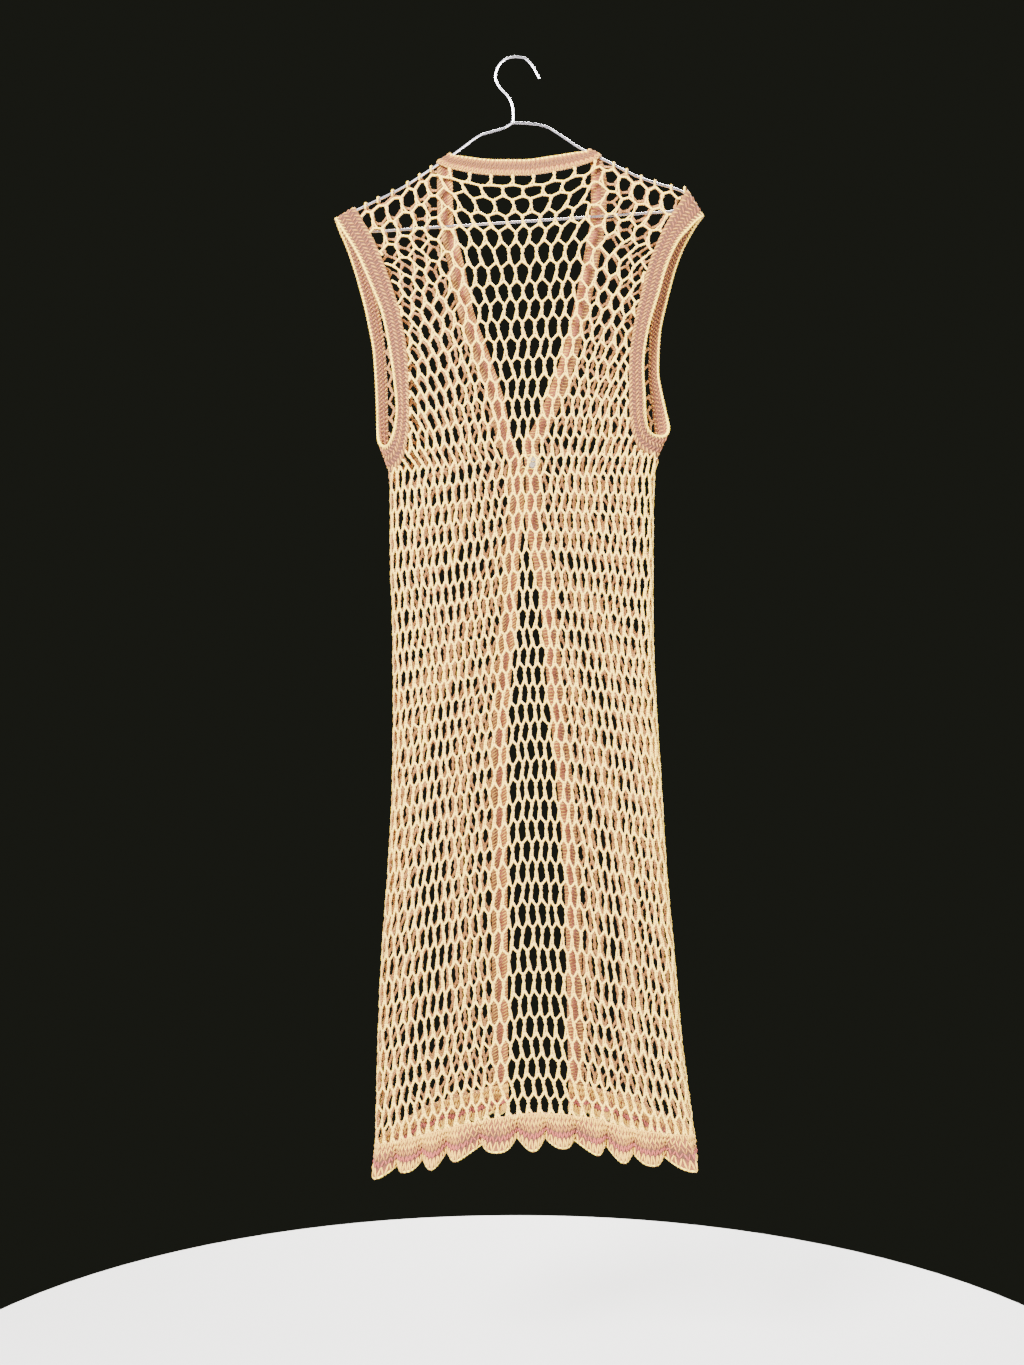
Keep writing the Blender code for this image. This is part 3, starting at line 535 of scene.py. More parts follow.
def tubes(path, facing, radius, sides):
    """Round tubes along rows of points.  UV runs along each in millimetres and once round it."""
    count, steps = path.shape[:2]
    first_step, last_step = path[:, 1:2] - path[:, :1], path[:, -1:] - path[:, -2:-1]
    ahead = unit(np.concatenate([first_step, path[:, 2:] - path[:, :-2], last_step], 1))
    across = unit(np.cross(ahead, facing))
    out = np.cross(across, ahead)
    turn = np.arange(sides) / sides * math.tau
    ring = -out[:, :, None] * np.cos(turn)[:, None] + across[:, :, None] * np.sin(turn)[:, None]
    radius = np.broadcast_to(radius, (count, steps))
    points = (path[:, :, None] + ring * radius[:, :, None, None]).reshape(-1, 3)
    n, r, s = np.meshgrid(np.arange(count), np.arange(steps - 1), np.arange(sides), indexing="ij")
    here, next_s = (n * steps + r) * sides, (s + 1) % sides
    quads = np.stack([here + s, here + sides + s, here + sides + next_s, here + next_s], -1).reshape(-1, 4)
    lengths = np.linalg.norm(np.diff(path, axis=1), axis=2)
    walked = np.concatenate([np.zeros((count, 1)), np.cumsum(lengths, 1)], 1)
    a, b = walked[n, r], walked[n, r + 1]
    round0, round1 = s / sides, (s + 1) / sides
    uv = np.stack([a, round0, b, round0, b, round1, a, round1], -1).reshape(-1, 4, 2)
    first = np.arange(count)[:, None] * steps * sides + np.arange(sides)
    last = first[:, ::-1] + (steps - 1) * sides
    caps = np.concatenate([first, last])
    cap_uv = np.zeros((len(caps), sides, 2)) + 0.5
    cap_uv[count:, :, 0] = walked[:, -1:]
    return points, [quads, caps], [uv, cap_uv]


def piece(name, parts, material, body="root"):
    """One mesh from parts made of points, groups of faces and their UV, riding on the body."""
    start, points, faces, uvs = 0, [], [], []
    for part_points, part_faces, part_uvs in parts:
        points.append(part_points)
        for group, uv in zip(part_faces, part_uvs):
            faces += (group + start).tolist()
            uvs.append(uv.ravel())
        start += len(part_points)
    mesh = bpy.data.meshes.new(name)
    mesh.from_pydata(np.concatenate(points) * MM, [], faces)
    mesh.uv_layers.new(name="UVMap").data.foreach_set("uv", np.concatenate(uvs).astype(np.float32))
    mesh.materials.append(material)
    mesh.shade_smooth()
    thing = bpy.data.objects.new(name, mesh)
    bpy.context.scene.collection.objects.link(thing)
    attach(thing, body)
    return thing


def shader(name, roughness, sheen=0.0):
    """A new material, its node tree and its main shader."""
    material = bpy.data.materials.new(name)
    material.use_nodes = True
    main = material.node_tree.nodes["Principled BSDF"]
    main.inputs["Roughness"].default_value = roughness
    main.inputs["Sheen Weight"].default_value = sheen
    return material, material.node_tree, main


def node(tree, kind, links=(), **values):
    """A shader node with its sockets filled: links are (socket, output) pairs."""
    made = tree.nodes.new("ShaderNode" + kind)
    for key, value in values.items():
        setattr(made, key, value)
    for socket, source in links:
        if isinstance(source, bpy.types.NodeSocket):
            tree.links.new(source, made.inputs[socket])
        else:
            made.inputs[socket].default_value = source
    return made


def maths(tree, operation, a, b=0.0):
    return node(tree, "Math", [(0, a), (1, b)], operation=operation).outputs[0]


def mixed(tree, share, a, b):
    made = node(tree, "Mix", data_type="RGBA")
    for socket, value in (("Factor", share), (6, a), (7, b)):
        if isinstance(value, bpy.types.NodeSocket):
            tree.links.new(value, made.inputs[socket])
        else:
            made.inputs[socket].default_value = value if socket == "Factor" else (*value, 1)
    return made.outputs[2]


def noise(tree, place, scale, detail):
    made = node(tree, "TexNoise", [("Vector", place.outputs["Object"]), ("Scale", scale), ("Detail", detail)])
    return made.outputs[0]


def yarn(name, outside, inside):
    """Plied cotton with slanting stitches, fuzz and uneven dye; the inner side is painted in shade.

    Each side has a light colour, a dark one, and one for the grooves between the stitches, which is
    painted shade. The inner side, facing into the cloth, is the same yarn with painted shade.
    """
    material, tree, main = shader(name, 0.88, 0.08)
    place = node(tree, "TexCoord")
    split = node(tree, "SeparateXYZ", [(0, place.outputs["UV"])])
    side = maths(tree, "ABSOLUTE", maths(tree, "SUBTRACT", split.outputs[1], 0.5))
    slant = maths(tree, "MULTIPLY", side, 1.6)
    phase = maths(tree, "ADD", maths(tree, "MULTIPLY", split.outputs[0], 0.36), slant)
    wave = maths(tree, "SINE", maths(tree, "MULTIPLY", phase, math.tau))
    groove = maths(tree, "MULTIPLY_ADD", wave, 0.5)
    groove.node.inputs[2].default_value = 0.5
    patch = maths(tree, "MULTIPLY", noise(tree, place, 22.0, 2.0), 0.9)
    # Painted shade: the grooves between the stitches are darkened towards each side's third, darkest colour.
    shade = maths(tree, "MULTIPLY", maths(tree, "SUBTRACT", 1.0, groove), 0.65)
    sides = [
        mixed(tree, shade, mixed(tree, patch, light, dark), deep) for light, dark, deep in (outside, inside)
    ]
    # inner: how far round the tube the painted shade of the yarn's inner side takes over
    inner = maths(tree, "MULTIPLY", maths(tree, "SUBTRACT", side, 0.15), 8.0)
    tree.links.new(mixed(tree, inner, *sides), main.inputs["Base Color"])
    height = maths(tree, "ADD", groove, maths(tree, "MULTIPLY", noise(tree, place, 1400.0, 3.0), 0.5))
    bump = node(tree, "Bump", [("Strength", 0.55), ("Distance", 0.0006), ("Height", height)])
    tree.links.new(bump.outputs[0], main.inputs["Normal"])
    return material


CHAIN_LUMPS = np.array([1.0, 1.12, 0.9, 1.1, 0.94, 1.1, 0.9, 1.12, 1.0])
STRAND_LUMPS = np.array([1.0, 1.1, 0.95, 1.1, 1.0, 0.95, 1.0])
POST_SHADE_TURN = 0.09  # how far round the colours of a post's strands are turned, so that one side of each gets painted shade
# Light, dark and groove colours of each side of the net yarn. The groove colours are painted shade, and the
# inner side's colours are the same cream yarn painted in shade, for the side facing into the cloth.
OUTER_SIDE = ((0.98, 0.75, 0.08), (0.92, 0.60, 0.07), (0.44, 0.16, 0.035))
SHADED_INNER_SIDE = ((0.47, 0.23, 0.05), (0.31, 0.12, 0.032), (0.10, 0.028, 0.010))
net_yarn = yarn("cream net yarn", OUTER_SIDE, SHADED_INNER_SIDE)


def net_piece(name, side, place, limits, lines, seed, extra=()):
    """The chains and posts of some lines of a net, as one piece."""
    chains, strands = net(side, place, limits, lines, seed)
    path, facing = (np.concatenate(both) for both in zip(*chains))
    parts = [tubes(path, facing, CHAIN * CHAIN_LUMPS, 5)]
    path, facing = (np.concatenate(both) for both in zip(*strands))
    points, faces, uvs = tubes(path, facing, STRAND * STRAND_LUMPS, 5)
    # Only the UV is turned, not the strands: one side of each post's strand gets the inner side's painted
    # shade.
    parts.append((points, faces, [uv + (0.0, POST_SHADE_TURN) for uv in uvs]))
    return piece(name, parts + list(extra), net_yarn)


WRAP_TURN = 0.62  # how far a strand goes round the wire to each side, in half turns
WRAP_REACH, WRAP_SWELL = 2.9, 0.5  # from the wire's middle on top of it, and how much more beside it
WRAP_TAIL = 26  # how steeply its ends leave the wire
WRAP_SLANT = 0.9
WRAP_THICK = 1.35


def shoulder_wraps(columns):
    """Strands that go over the hanger's wire and down to the first chains of the back and fronts."""
    angle = np.linspace(-WRAP_TURN, WRAP_TURN, 9) * math.pi
    paths = []
    for column in columns:
        x = float(column_x(column))
        reach = WRAP_REACH + WRAP_SWELL * np.abs(np.sin(angle)) ** 2
        below = np.maximum(np.abs(angle) / math.pi - 0.5, 0) * WRAP_TAIL
        centre = float(arm_drop(x))
        across = x + WRAP_SLANT * np.sin(angle)
        paths.append(np.stack([across, np.sin(angle) * reach, -(centre - np.cos(angle) * reach + below)], -1))
    path = np.stack(paths)
    facing = np.stack([0 * angle, np.sin(angle), np.cos(angle)], -1)[None] + 0 * path
    return tubes(path, facing, WRAP_THICK, 6)


HALFWAY = 24
wraps = shoulder_wraps([side * (column + 0.5) for side in (-1, 1) for column in range(4, 10)])
back_upper = net_piece("back_net_upper", BACK, back_place, back_limits, range(HALFWAY), 1, [wraps])
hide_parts("back")


# --- Back net, lower half -----------------------------------------------------------------------
# The same net carried on to the hem, in one with the upper half on the real vest.  Its arcs sag
# further, because the cloth spreads towards the hem.

back_lower = net_piece("back_net_lower", BACK, back_place, back_limits, range(HALFWAY, LINES), 1)
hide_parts("back")


# --- Front nets ---------------------------------------------------------------------------------
# The left and right fronts, in the same net as the back.  Their columns run on from the back's
# round the side folds, and end at the solid bands of the opening.

OPENING = table(
    "drop left right",
    (106, -77.5, 83.0),
    (130, -75.5, 86.5),
    (186, -75.0, 86.0),
    (206, -70.0, 82.5),
    (250, -60.0, 74.5),
    (290, -52.0, 66.0),
    (340, -34.0, 53.5),
    (398, -15.0, 33.0),
    (430, -8.5, 18.0),
    (450, -2.5, 6.0),
    (469, 6.5, 9.0),
    (486, 8.0, 10.3),
    (503, 8.0, 10.3),
    (535, 7.5, 9.8),
    (560, 4.5, 13.0),
    (586, 2.0, 19.0),
    (634, 0.0, 27.0),
    (690, -4.0, 32.0),
    (746, -9.0, 37.0),
    (815, -12.0, 44.0),
    (935, -12.0, 54.0),
    (1000, -11.5, 57.0),
    (1140, -11.0, 59.5),
    (1270, -10.0, 62.5),
)
FRONT_HEM_RISE = table("inward rise", (0, 0.0), (30, 12.0), (70, 24.0), (150, 30.0))
FRONT_COLUMNS = {"left": 14.6, "right": 13.6}  # from a side fold to the band, below the underarm
FREE_OF_ARMS = 0.3  # the level below which a front is whole, from its side fold to its band
NEAR_SHOULDER = 0.03  # the level by which a front's edges have left the shoulder's line for their own
RUN_ON = 0.25  # how many columns short of the side fold a front's count starts at the shoulder
FRONT_BAND = 18.0
front_hem_rise = curve(FRONT_HEM_RISE, "inward", "rise")


def front_hem(x):
    return back_hem(x) - front_hem_rise(np.minimum(x - BACK_HEM[0]["x"], BACK_HEM[-1]["x"] - x))


class Front:
    """One front: its edges, and the places of its columns and of its band."""

    def __init__(self, name, hand):
        self.hand = hand
        self.opening = curve(OPENING, "drop", name)
        self.columns = FRONT_COLUMNS[name]
        corner, neck, sides, armhole = (
            (TOP_LEFT[1], NECK[0], side_left, LEFT_ARMHOLE)
            if hand < 0
            else (TOP_RIGHT[1], NECK[-1], side_right, RIGHT_ARMHOLE)
        )
        self.outer = outline(armhole, "front_net", sides)
        self.side_x, self.neck_x, self.free_x = corner["x"], neck["x"], neck["upper_x"]
        self.hem_side = BACK_HEM[0 if hand < 0 else -1]["x"]
        self.hem_x = float(self.band_edge(HEM_CORNER))
        self.hem_free = float(self.opening(HEM_CORNER))
        self.counts = np.linspace(-1, FOLD_COLUMN, 366)
        below_arm = self.spread_x(self.counts, FREE_OF_ARMS)
        self.beside = np.interp(below_arm, back_x(all_columns, FREE_OF_ARMS), all_columns)
        self.ends = []
        for level in levels:
            row_x = self.hand * self.row_x(self.counts, level)
            edges = [self.hand * self.across(u, level)[0] for u in (0.0, 1.0)]
            self.ends.append([np.interp(-edge, -row_x, self.counts) for edge in edges])
        self.ends = np.array(self.ends)

    def band_edge(self, drop):
        slant = (self.opening(drop + 1) - self.opening(drop - 1)) / 2
        return self.opening(drop) + self.hand * FRONT_BAND * np.hypot(1, slant)

    def fold_column(self, v):
        """Columns of a front run on from the back's, and stand between them from the waist down."""
        return blend(FOLD_COLUMN - RUN_ON, FOLD_COLUMN, ease(v / FREE_OF_ARMS))

    def limits(self, v):
        near, far = (self.fold_column(v) + np.interp(v, levels, self.ends[:, k]) for k in (0, 1))
        return (-far, -near) if self.hand < 0 else (near, far)

    def across(self, u, v):
        """The place at a share u of the way from the side to the band."""
        drop_out = blend(fold_drop(self.side_x), front_hem(self.hem_side), v)
        drop_in = blend(fold_drop(self.neck_x), front_hem(self.hem_x), v)
        top_x = blend(self.side_x, self.neck_x, u)
        shift = top_x - blend(self.outer(fold_drop(self.side_x)), self.band_edge(fold_drop(self.neck_x)), u)
        x = blend(self.outer(drop_out), self.band_edge(drop_in), u) + shift * (1 - ease(v / NEAR_SHOULDER))
        top = fold_drop(top_x) - blend(fold_drop(self.side_x), fold_drop(self.neck_x), u)
        hem = front_hem(blend(self.hem_side, self.hem_x, u))
        hem = hem - blend(front_hem(self.hem_side), front_hem(self.hem_x), u)
        return x, blend(drop_out, drop_in, u) + top * (1 - ease(v / UNDERARM)) + hem * ease(v)

    def spread_x(self, count, v):
        """Distance across of a column, counted from the side fold, where all are evenly spread."""
        outer, inner = self.across(0.0, v)[0], self.across(1.0, v)[0]
        walked = (np.abs(inner - outer) + FOLD_EXTRA) * count / self.columns
        return outer - self.hand * round_fold(np.maximum(walked, 0))

    def row_x(self, count, v):
        """The same at any level: above the underarm the columns run up beside the back's."""
        top = self.hand * (FOLD_COLUMN - RUN_ON - count)
        beside = blend(top, np.interp(count, self.counts, self.beside), ease(v / FREE_OF_ARMS))
        return np.where(v < FREE_OF_ARMS, back_x(beside, v), self.spread_x(count, v))

    def place(self, column, v):
        x = self.row_x(np.abs(column) - self.fold_column(v), v)
        outer, inner = self.across(0.0, v)[0], self.across(1.0, v)[0]
        return self.across(np.clip((x - outer) / (inner - outer), 0, 1), v)

    def free_edge(self, v):
        """The edge of the band at the opening."""
        top, hem = fold_drop(self.free_x), front_hem(self.hem_free)
        drop = blend(top, hem, v)
        shift = self.free_x - self.opening(top)
        return self.opening(drop) + shift * (1 - ease(v / NEAR_SHOULDER)), drop


left_front, right_front = Front("left", -1), Front("right", 1)
for name, front, seed in (("front_left", left_front, 2), ("front_right", right_front, 3)):
    made = net_piece(name + "_net", FRONT, front.place, front.limits, range(LINES), seed)
    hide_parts(name, name + "_side")


# --- Neck band ----------------------------------------------------------------------------------
# A strip of solid crochet round the back of the neck: three rows of V-shaped stitches on a darker
# ground, tan and pink yarn with painted shade where it shows between them, and a chain along each
# edge, the upper one thicker and brighter.


def rows_material(name, colours):
    """Yarn whose colour changes from row to row: UV's second number runs across the rows."""
    material, tree, main = shader(name, 0.9, 0.08)
    place = node(tree, "TexCoord")
    split = node(tree, "SeparateXYZ", [(0, place.outputs["UV"])])
    wander = maths(tree, "SUBTRACT", noise(tree, place, 90.0, 2.0), 0.5)
    across = maths(tree, "ADD", split.outputs[1], maths(tree, "MULTIPLY", wander, 0.12))
    ramp = node(tree, "ValToRGB", [(0, across)])
    stops = ramp.color_ramp.elements
    while len(stops) < len(colours):
        stops.new(0.5)
    for stop, (at, colour) in zip(stops, colours):
        stop.position = at
        stop.color = (*colour, 1)
    fuzz = noise(tree, place, 700.0, 4.0)
    shade = maths(tree, "MULTIPLY", fuzz, 0.3)
    tree.links.new(mixed(tree, shade, ramp.outputs[0], (0.20, 0.07, 0.03)), main.inputs["Base Color"])
    bump = node(tree, "Bump", [("Strength", 0.5), ("Distance", 0.0006), ("Height", fuzz)])
    tree.links.new(bump.outputs[0], main.inputs["Normal"])
    return material


def walk(points):
    """Distance walked along a row of points, at each of them."""
    return np.append(0.0, np.cumsum(np.linalg.norm(np.diff(points, axis=0), axis=1)))


def along_edge(at, walked, edge):
    """Values of a dense edge at places between its own points."""
    return np.stack([np.interp(at, walked, edge[:, k]) for k in range(3)], -1)


def even_grid(seam, free, count, columns, closed=False):
    """A grid between two edges given as dense rows of points, evenly spaced along them."""
    middle = (seam + free) / 2
    if closed:
        seam, free, middle = (np.concatenate([edge, edge[:1]]) for edge in (seam, free, middle))
    walked = walk(middle)
    at = np.linspace(0, walked[-1], count + 1)[: count if closed else count + 1]
    seam, free = along_edge(at, walked, seam), along_edge(at, walked, free)
    t = np.linspace(0, 1, columns)[None, :, None]
    return seam[:, None] * (1 - t) + free[:, None] * t


def grid_normals(grid, outward, closed=False):
    """Normals of a grid, turned so that those a fifth of the way along it point along outward."""
    if closed:
        along = np.roll(grid, -1, 0) - np.roll(grid, 1, 0)
    else:
        along = np.gradient(grid, axis=0)
    normal = unit(np.cross(along, np.gradient(grid, axis=1)))
    middle = normal[len(grid) // 5].mean(0)
    return normal if middle @ np.array(outward) > 0 else -normal


def shell(grid, normals, thickness, relief=0.0, closed=False):
    """A thin wall on a grid, with its face rows raised by relief, and UV along and across it."""
    count, columns = grid.shape[:2]
    relief = np.broadcast_to(relief, (columns,))[None, :, None]
    outer, inner = grid + normals * (thickness / 2 + relief), grid - normals * (thickness / 2 + relief)
    points = np.concatenate([outer.reshape(-1, 3), inner.reshape(-1, 3)])
    i, j = np.meshgrid(np.arange(count if closed else count - 1), np.arange(columns - 1), indexing="ij")
    i, j = i.ravel(), j.ravel()
    after = (i + 1) % count
    face = np.stack([i * columns + j, after * columns + j, after * columns + j + 1, i * columns + j + 1], -1)
    along = walk(grid[:, 0])
    along = np.append(along, along[-1] + np.linalg.norm(grid[0, 0] - grid[-1, 0]))
    a, b, low, high = along[i], along[i + 1], j / (columns - 1), (j + 1) / (columns - 1)
    face_uv = np.stack([a, low, b, low, b, high, a, high], -1).reshape(-1, 4, 2)
    far = count * columns
    quads, uvs = [face, face[:, ::-1] + far], [face_uv, face_uv[:, ::-1]]
    for column in (0, columns - 1):
        row = np.arange(count if closed else count - 1)
        a, b = row * columns + column, (row + 1) % count * columns + column
        rim = np.stack([a, a + far, b + far, b], -1)
        quads.append(rim if column == 0 else rim[:, ::-1])
        share = row * 0 + column / (columns - 1)
        rim_uv = [along[row], share] * 2 + [along[row + 1], share] * 2
        uvs.append(np.stack(rim_uv, -1).reshape(-1, 4, 2))
    if not closed:
        for row in (0, count - 1):
            column = np.arange(columns - 1)
            a, b = row * columns + column, row * columns + column + 1
            rim = np.stack([a, b, b + far, a + far], -1)
            quads.append(rim if row == 0 else rim[:, ::-1])
            rim_uv = [0 * a, column / (columns - 1), 0 * a, (column + 1) / (columns - 1)] * 2
            uvs.append(np.stack(rim_uv, -1).reshape(-1, 4, 2))
    quads, uvs = np.concatenate(quads), np.concatenate(uvs)
    probe = np.cross(grid[1, 0] - grid[0, 0], grid[0, 1] - grid[0, 0]) @ normals[0, 0]
    if probe < 0:
        quads, uvs = quads[:, ::-1], uvs[:, ::-1]
    return points, [quads], [uvs]


def sample(grid, i, j, closed=False):
    """Values of a grid between its rows and columns."""
    count, columns = grid.shape[:2]
    i = i % count if closed else np.clip(i, 0, count - 1)
    j = np.clip(j, 0, columns - 1)
    i0 = np.floor(i).astype(int) if closed else np.minimum(i.astype(int), count - 2)
    j0 = np.minimum(j.astype(int), columns - 2)
    s, t = (i - i0)[..., None], (j - j0)[..., None]
    i1 = (i0 + 1) % count
    return blend(blend(grid[i0, j0], grid[i1, j0], s), blend(grid[i0, j0 + 1], grid[i1, j0 + 1], s), t)


def recoloured(part, share):
    """The same mesh with UV's second number set to its place across the rows."""
    points, faces, uvs = part
    return points, faces, [np.stack([uv[..., 0], np.full(uv.shape[:2], share)], -1) for uv in uvs]


STITCH_UNEVEN, THICK_UNEVEN = 0.06, 0.07  # of the pitch, and of the yarn's radius
STITCH_BULGE = 0.55  # how much further a stitch's middle stands out than its ends


def stitch_rows(grid, normals, rows, pitch, closed=False, faces=(1, -1), seed=0):
    """Rows of stitches on the faces of a band: with 2 lobes V-shaped, with 1 or -1 slanted."""
    random = np.random.default_rng(seed)
    count, columns = grid.shape[:2]
    length = np.linalg.norm(np.diff(grid.mean(1), axis=0), axis=1).sum()
    number = round(length / pitch)
    step = (count if closed else count - 1) / number
    made = []
    for order, row in enumerate(rows):
        at = (np.arange(number) + 0.5 + 0.25 * (order % 2)) * step
        for face in faces:
            lobes = (-1, 1) if row["lobes"] == 2 else (row["lobes"],)
            for hand in lobes:
                jitter = random.normal(0, STITCH_UNEVEN, (2, number)) * step
                low, high = row["at"] - row["height"] / 2, row["at"] + row["height"] / 2
                foot_at = at + hand * (0.06 if len(lobes) == 2 else -0.24) * step + jitter[0]
                top_at = at + hand * 0.44 * step + jitter[1]
                path = []
                for share in (0.0, 0.5, 1.0):
                    i = blend(foot_at, top_at, share)
                    j = np.full(number, blend(low, high, share) * (columns - 1))
                    normal = unit(sample(normals, i, j, closed)) * face
                    rise = row["lift"] + (STITCH_BULGE if share == 0.5 else 0.0)
                    path.append((sample(grid, i, j, closed) + normal * rise, normal))
                points = np.stack([p for p, n in path], 1)
                facing = np.stack([n for p, n in path], 1)
                plump = row["thick"] * (1 + random.normal(0, THICK_UNEVEN, (number, 1)))
                radius = plump * np.array([0.5, 1.0, 0.55])
                made.append(recoloured(tubes(points, facing, radius, 5), row["at"]))
    return made


HALF_LOOP = 2.2  # from a thick place of an edge's chain to the next thin one
LOOP_SWELL = 0.16  # of its radius


def edge_chain(grid, normals, column, thick, closed=False):
    """A chain of round loops along one edge of a band."""
    beside = grid[:, column + 1 if column == 0 else column - 1]
    edge = grid[:, column] + unit(beside - grid[:, column]) * thick
    if closed:
        edge = np.concatenate([edge, edge[:1]])
    facing = np.concatenate([normals[:, column], normals[:1, column]]) if closed else normals[:, column]
    walked = walk(edge)
    count = round(walked[-1] / HALF_LOOP)
    at = np.linspace(0, walked[-1], count + 1)
    path, face = along_edge(at, walked, edge), along_edge(at, walked, facing)
    radius = thick * (1 + LOOP_SWELL * np.cos(np.arange(count + 1) * math.pi))
    return recoloured(tubes(path[None], unit(face)[None], radius[None], 6), 1.0 if column else 0.0)


def stitch_table(count, thick, lift, lobes, reach=1.15):
    """Rows of stitches spread evenly across a band."""
    return [
        {"at": (k + 0.5) / count, "height": reach / count, "thick": thick, "lift": lift, "lobes": lobes}
        for k in range(count)
    ]


BAND_WALL = 1.6
RIDGE = 0.35  # how far every second line of a band's cloth stands out


def band(name, grid, normals, ground, stitch, stitches, closed=False):
    """The plain cloth of a band and the stitches on it, as two pieces."""
    ridges = np.array([0, RIDGE] * (grid.shape[1] // 2) + [0])
    cloth = piece(name + "_cloth", [shell(grid, normals, BAND_WALL, ridges, closed)], ground)
    return cloth, piece(name + "_stitches", stitches, stitch)


CREAM = (0.66, 0.38, 0.035)
BRIGHT = (0.98, 0.74, 0.05)
PINK = (0.14, 0.030, 0.012)
PALE_PINK = (0.25, 0.074, 0.020)
SAND = (0.38, 0.165, 0.022)
TAN = (0.19, 0.07, 0.012)
# SHADE is painted shade, for a band's ground where it shows between the stitches.
SHADE = (0.05, 0.012, 0.004)
NECK_GROUND = [(0.0, TAN), (0.3, PALE_PINK), (0.6, SHADE), (0.85, PALE_PINK), (1.0, BRIGHT)]
NECK_COLOURS = [(0.0, CREAM), (0.3, SAND), (0.5, TAN), (0.7, PALE_PINK), (0.85, SAND), (0.95, BRIGHT)]
neck_upper_x = curve(NECK, "x", "upper_x")
neck_upper_drop = curve(NECK, "x", "upper_drop")
across_neck = np.linspace(NECK[0]["x"], NECK[-1]["x"], 400)
upper_x = neck_upper_x(across_neck)
upper_drop = np.maximum(neck_upper_drop(across_neck), fold_drop(upper_x))
lower_edge = on_cloth(BACK, across_neck, np.maximum(neck_lower(across_neck), fold_drop(across_neck)))[0]
upper_edge = on_cloth(BACK, upper_x, upper_drop)[0]
neck_grid = even_grid(lower_edge, upper_edge, 60, 7)
neck_normals = grid_normals(neck_grid, (0, -1, 0))
neck_band, neck_stitches = band(
    "neck_band",
    neck_grid,
    neck_normals,
    rows_material("neck band ground", NECK_GROUND),
    rows_material("neck band stitches", NECK_COLOURS),
    stitch_rows(neck_grid, neck_normals, stitch_table(3, 0.95, 0.9, 2), 5.6, seed=11)
    + [edge_chain(neck_grid, neck_normals, -1, 1.5), edge_chain(neck_grid, neck_normals, 0, 1.1)],
)
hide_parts("neck_band")


# --- Front bands --------------------------------------------------------------------------------
# Solid crochet down both edges of the opening, three rows wide, from the shoulder to the ruffle.
# Inside, thin strands slant across a darker ground, pink yarn with painted shade between them;
# outside, the stitches are V-shaped.

FRONT_BAND_GROUND = [(0.0, TAN), (0.3, SHADE), (0.6, PINK), (1.0, PALE_PINK)]
FRONT_BAND_COLOURS = [(0.0, CREAM), (0.35, TAN), (0.6, PALE_PINK), (0.8, CREAM), (1.0, TAN)]
front_band_ground = rows_material("front band ground", FRONT_BAND_GROUND)
front_band_stitch = rows_material("front band stitches", FRONT_BAND_COLOURS)
down = np.linspace(0, 1, 1500)
band_feet = {}
for name, front in (("front_band_left", left_front), ("front_band_right", right_front)):
    seam = on_cloth(FRONT, *front.across(np.ones_like(down), down))[0]
    free = on_cloth(FRONT, *front.free_edge(down))[0]
    grid = even_grid(seam, free, 300, 7)
    normals = grid_normals(grid, (0, 1, 0))
    slanted = stitch_table(3, 0.8, 0.8, front.hand, 1.25)
    made = stitch_rows(grid, normals, stitch_table(3, 1.15, 0.9, 2), 5.2, faces=(1,), seed=12)
    made += stitch_rows(grid, normals, slanted, 3.8, faces=(-1,), seed=15)
    made += [edge_chain(grid, normals, -1, 1.3)]
    cloth, stitches = band(name, grid, normals, front_band_ground, front_band_stitch, made)
    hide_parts(name)
    band_feet[name] = free[-1]


# --- Armhole bands ------------------------------------------------------------------------------
# A closed ring of solid crochet round each armhole: five rows of cream, sand and pink stitches that
# slant each way in turn on a dark ground, painted shade between the stitches with tan at its edges,
# and a bright chain along the free edge.

ARMHOLE_GROUND = [(0.0, TAN), (0.15, SHADE), (0.85, SHADE), (1.0, TAN)]
ARMHOLE_COLOURS = [
    (0.0, CREAM),
    (0.15, SAND),
    (0.3, PALE_PINK),
    (0.5, SAND),
    (0.7, PALE_PINK),
    (0.88, CREAM),
    (1.0, BRIGHT),
]
armhole_ground = rows_material("armhole band ground", ARMHOLE_GROUND)
armhole_stitch = rows_material("armhole band stitches", ARMHOLE_COLOURS)
for name, armhole in (("armhole_band_left", LEFT_ARMHOLE), ("armhole_band_right", RIGHT_ARMHOLE)):
    drop = np.linspace(armhole[0]["drop"], armhole[-1]["drop"], 400)
    turn = curve(armhole, "drop", "turn")(drop)
    edges = []
    for side, layer in ((BACK, "back"), (FRONT, "front")):
        net_x, rim_x, rim_drop = (
            curve(armhole, "drop", layer + word)(drop) for word in ("_net", "_rim", "_rim_drop")
        )
        seam = on_cloth(side, net_x, drop)[0]
        free = np.stack([rim_x, turn * seam[:, 1], -rim_drop], -1)
        edges.append((seam, free))
    seam = np.concatenate([edges[0][0], edges[1][0][-2:0:-1]])
    free = np.concatenate([edges[0][1], edges[1][1][-2:0:-1]])
    grid = even_grid(seam, free, 150, 9, closed=True)
    normals = grid_normals(grid, (0, -1, 0), closed=True)
    rows = stitch_table(5, 1.15, 0.8, 1, 1.05)
    for row in rows[::2]:
        row["lobes"] = -1
    made = stitch_rows(grid, normals, rows, 4.8, closed=True, seed=13)
    made += [edge_chain(grid, normals, -1, 1.6, closed=True)]
    cloth, stitches = band(name, grid, normals, armhole_ground, armhole_stitch, made, closed=True)
    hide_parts(name)


# --- Hem ruffles --------------------------------------------------------------------------------
# Gathered strips below the back and below each front with its band: five rows that go from cream
# over sand and rose to a cream edge, in lobes with deep valleys between them.

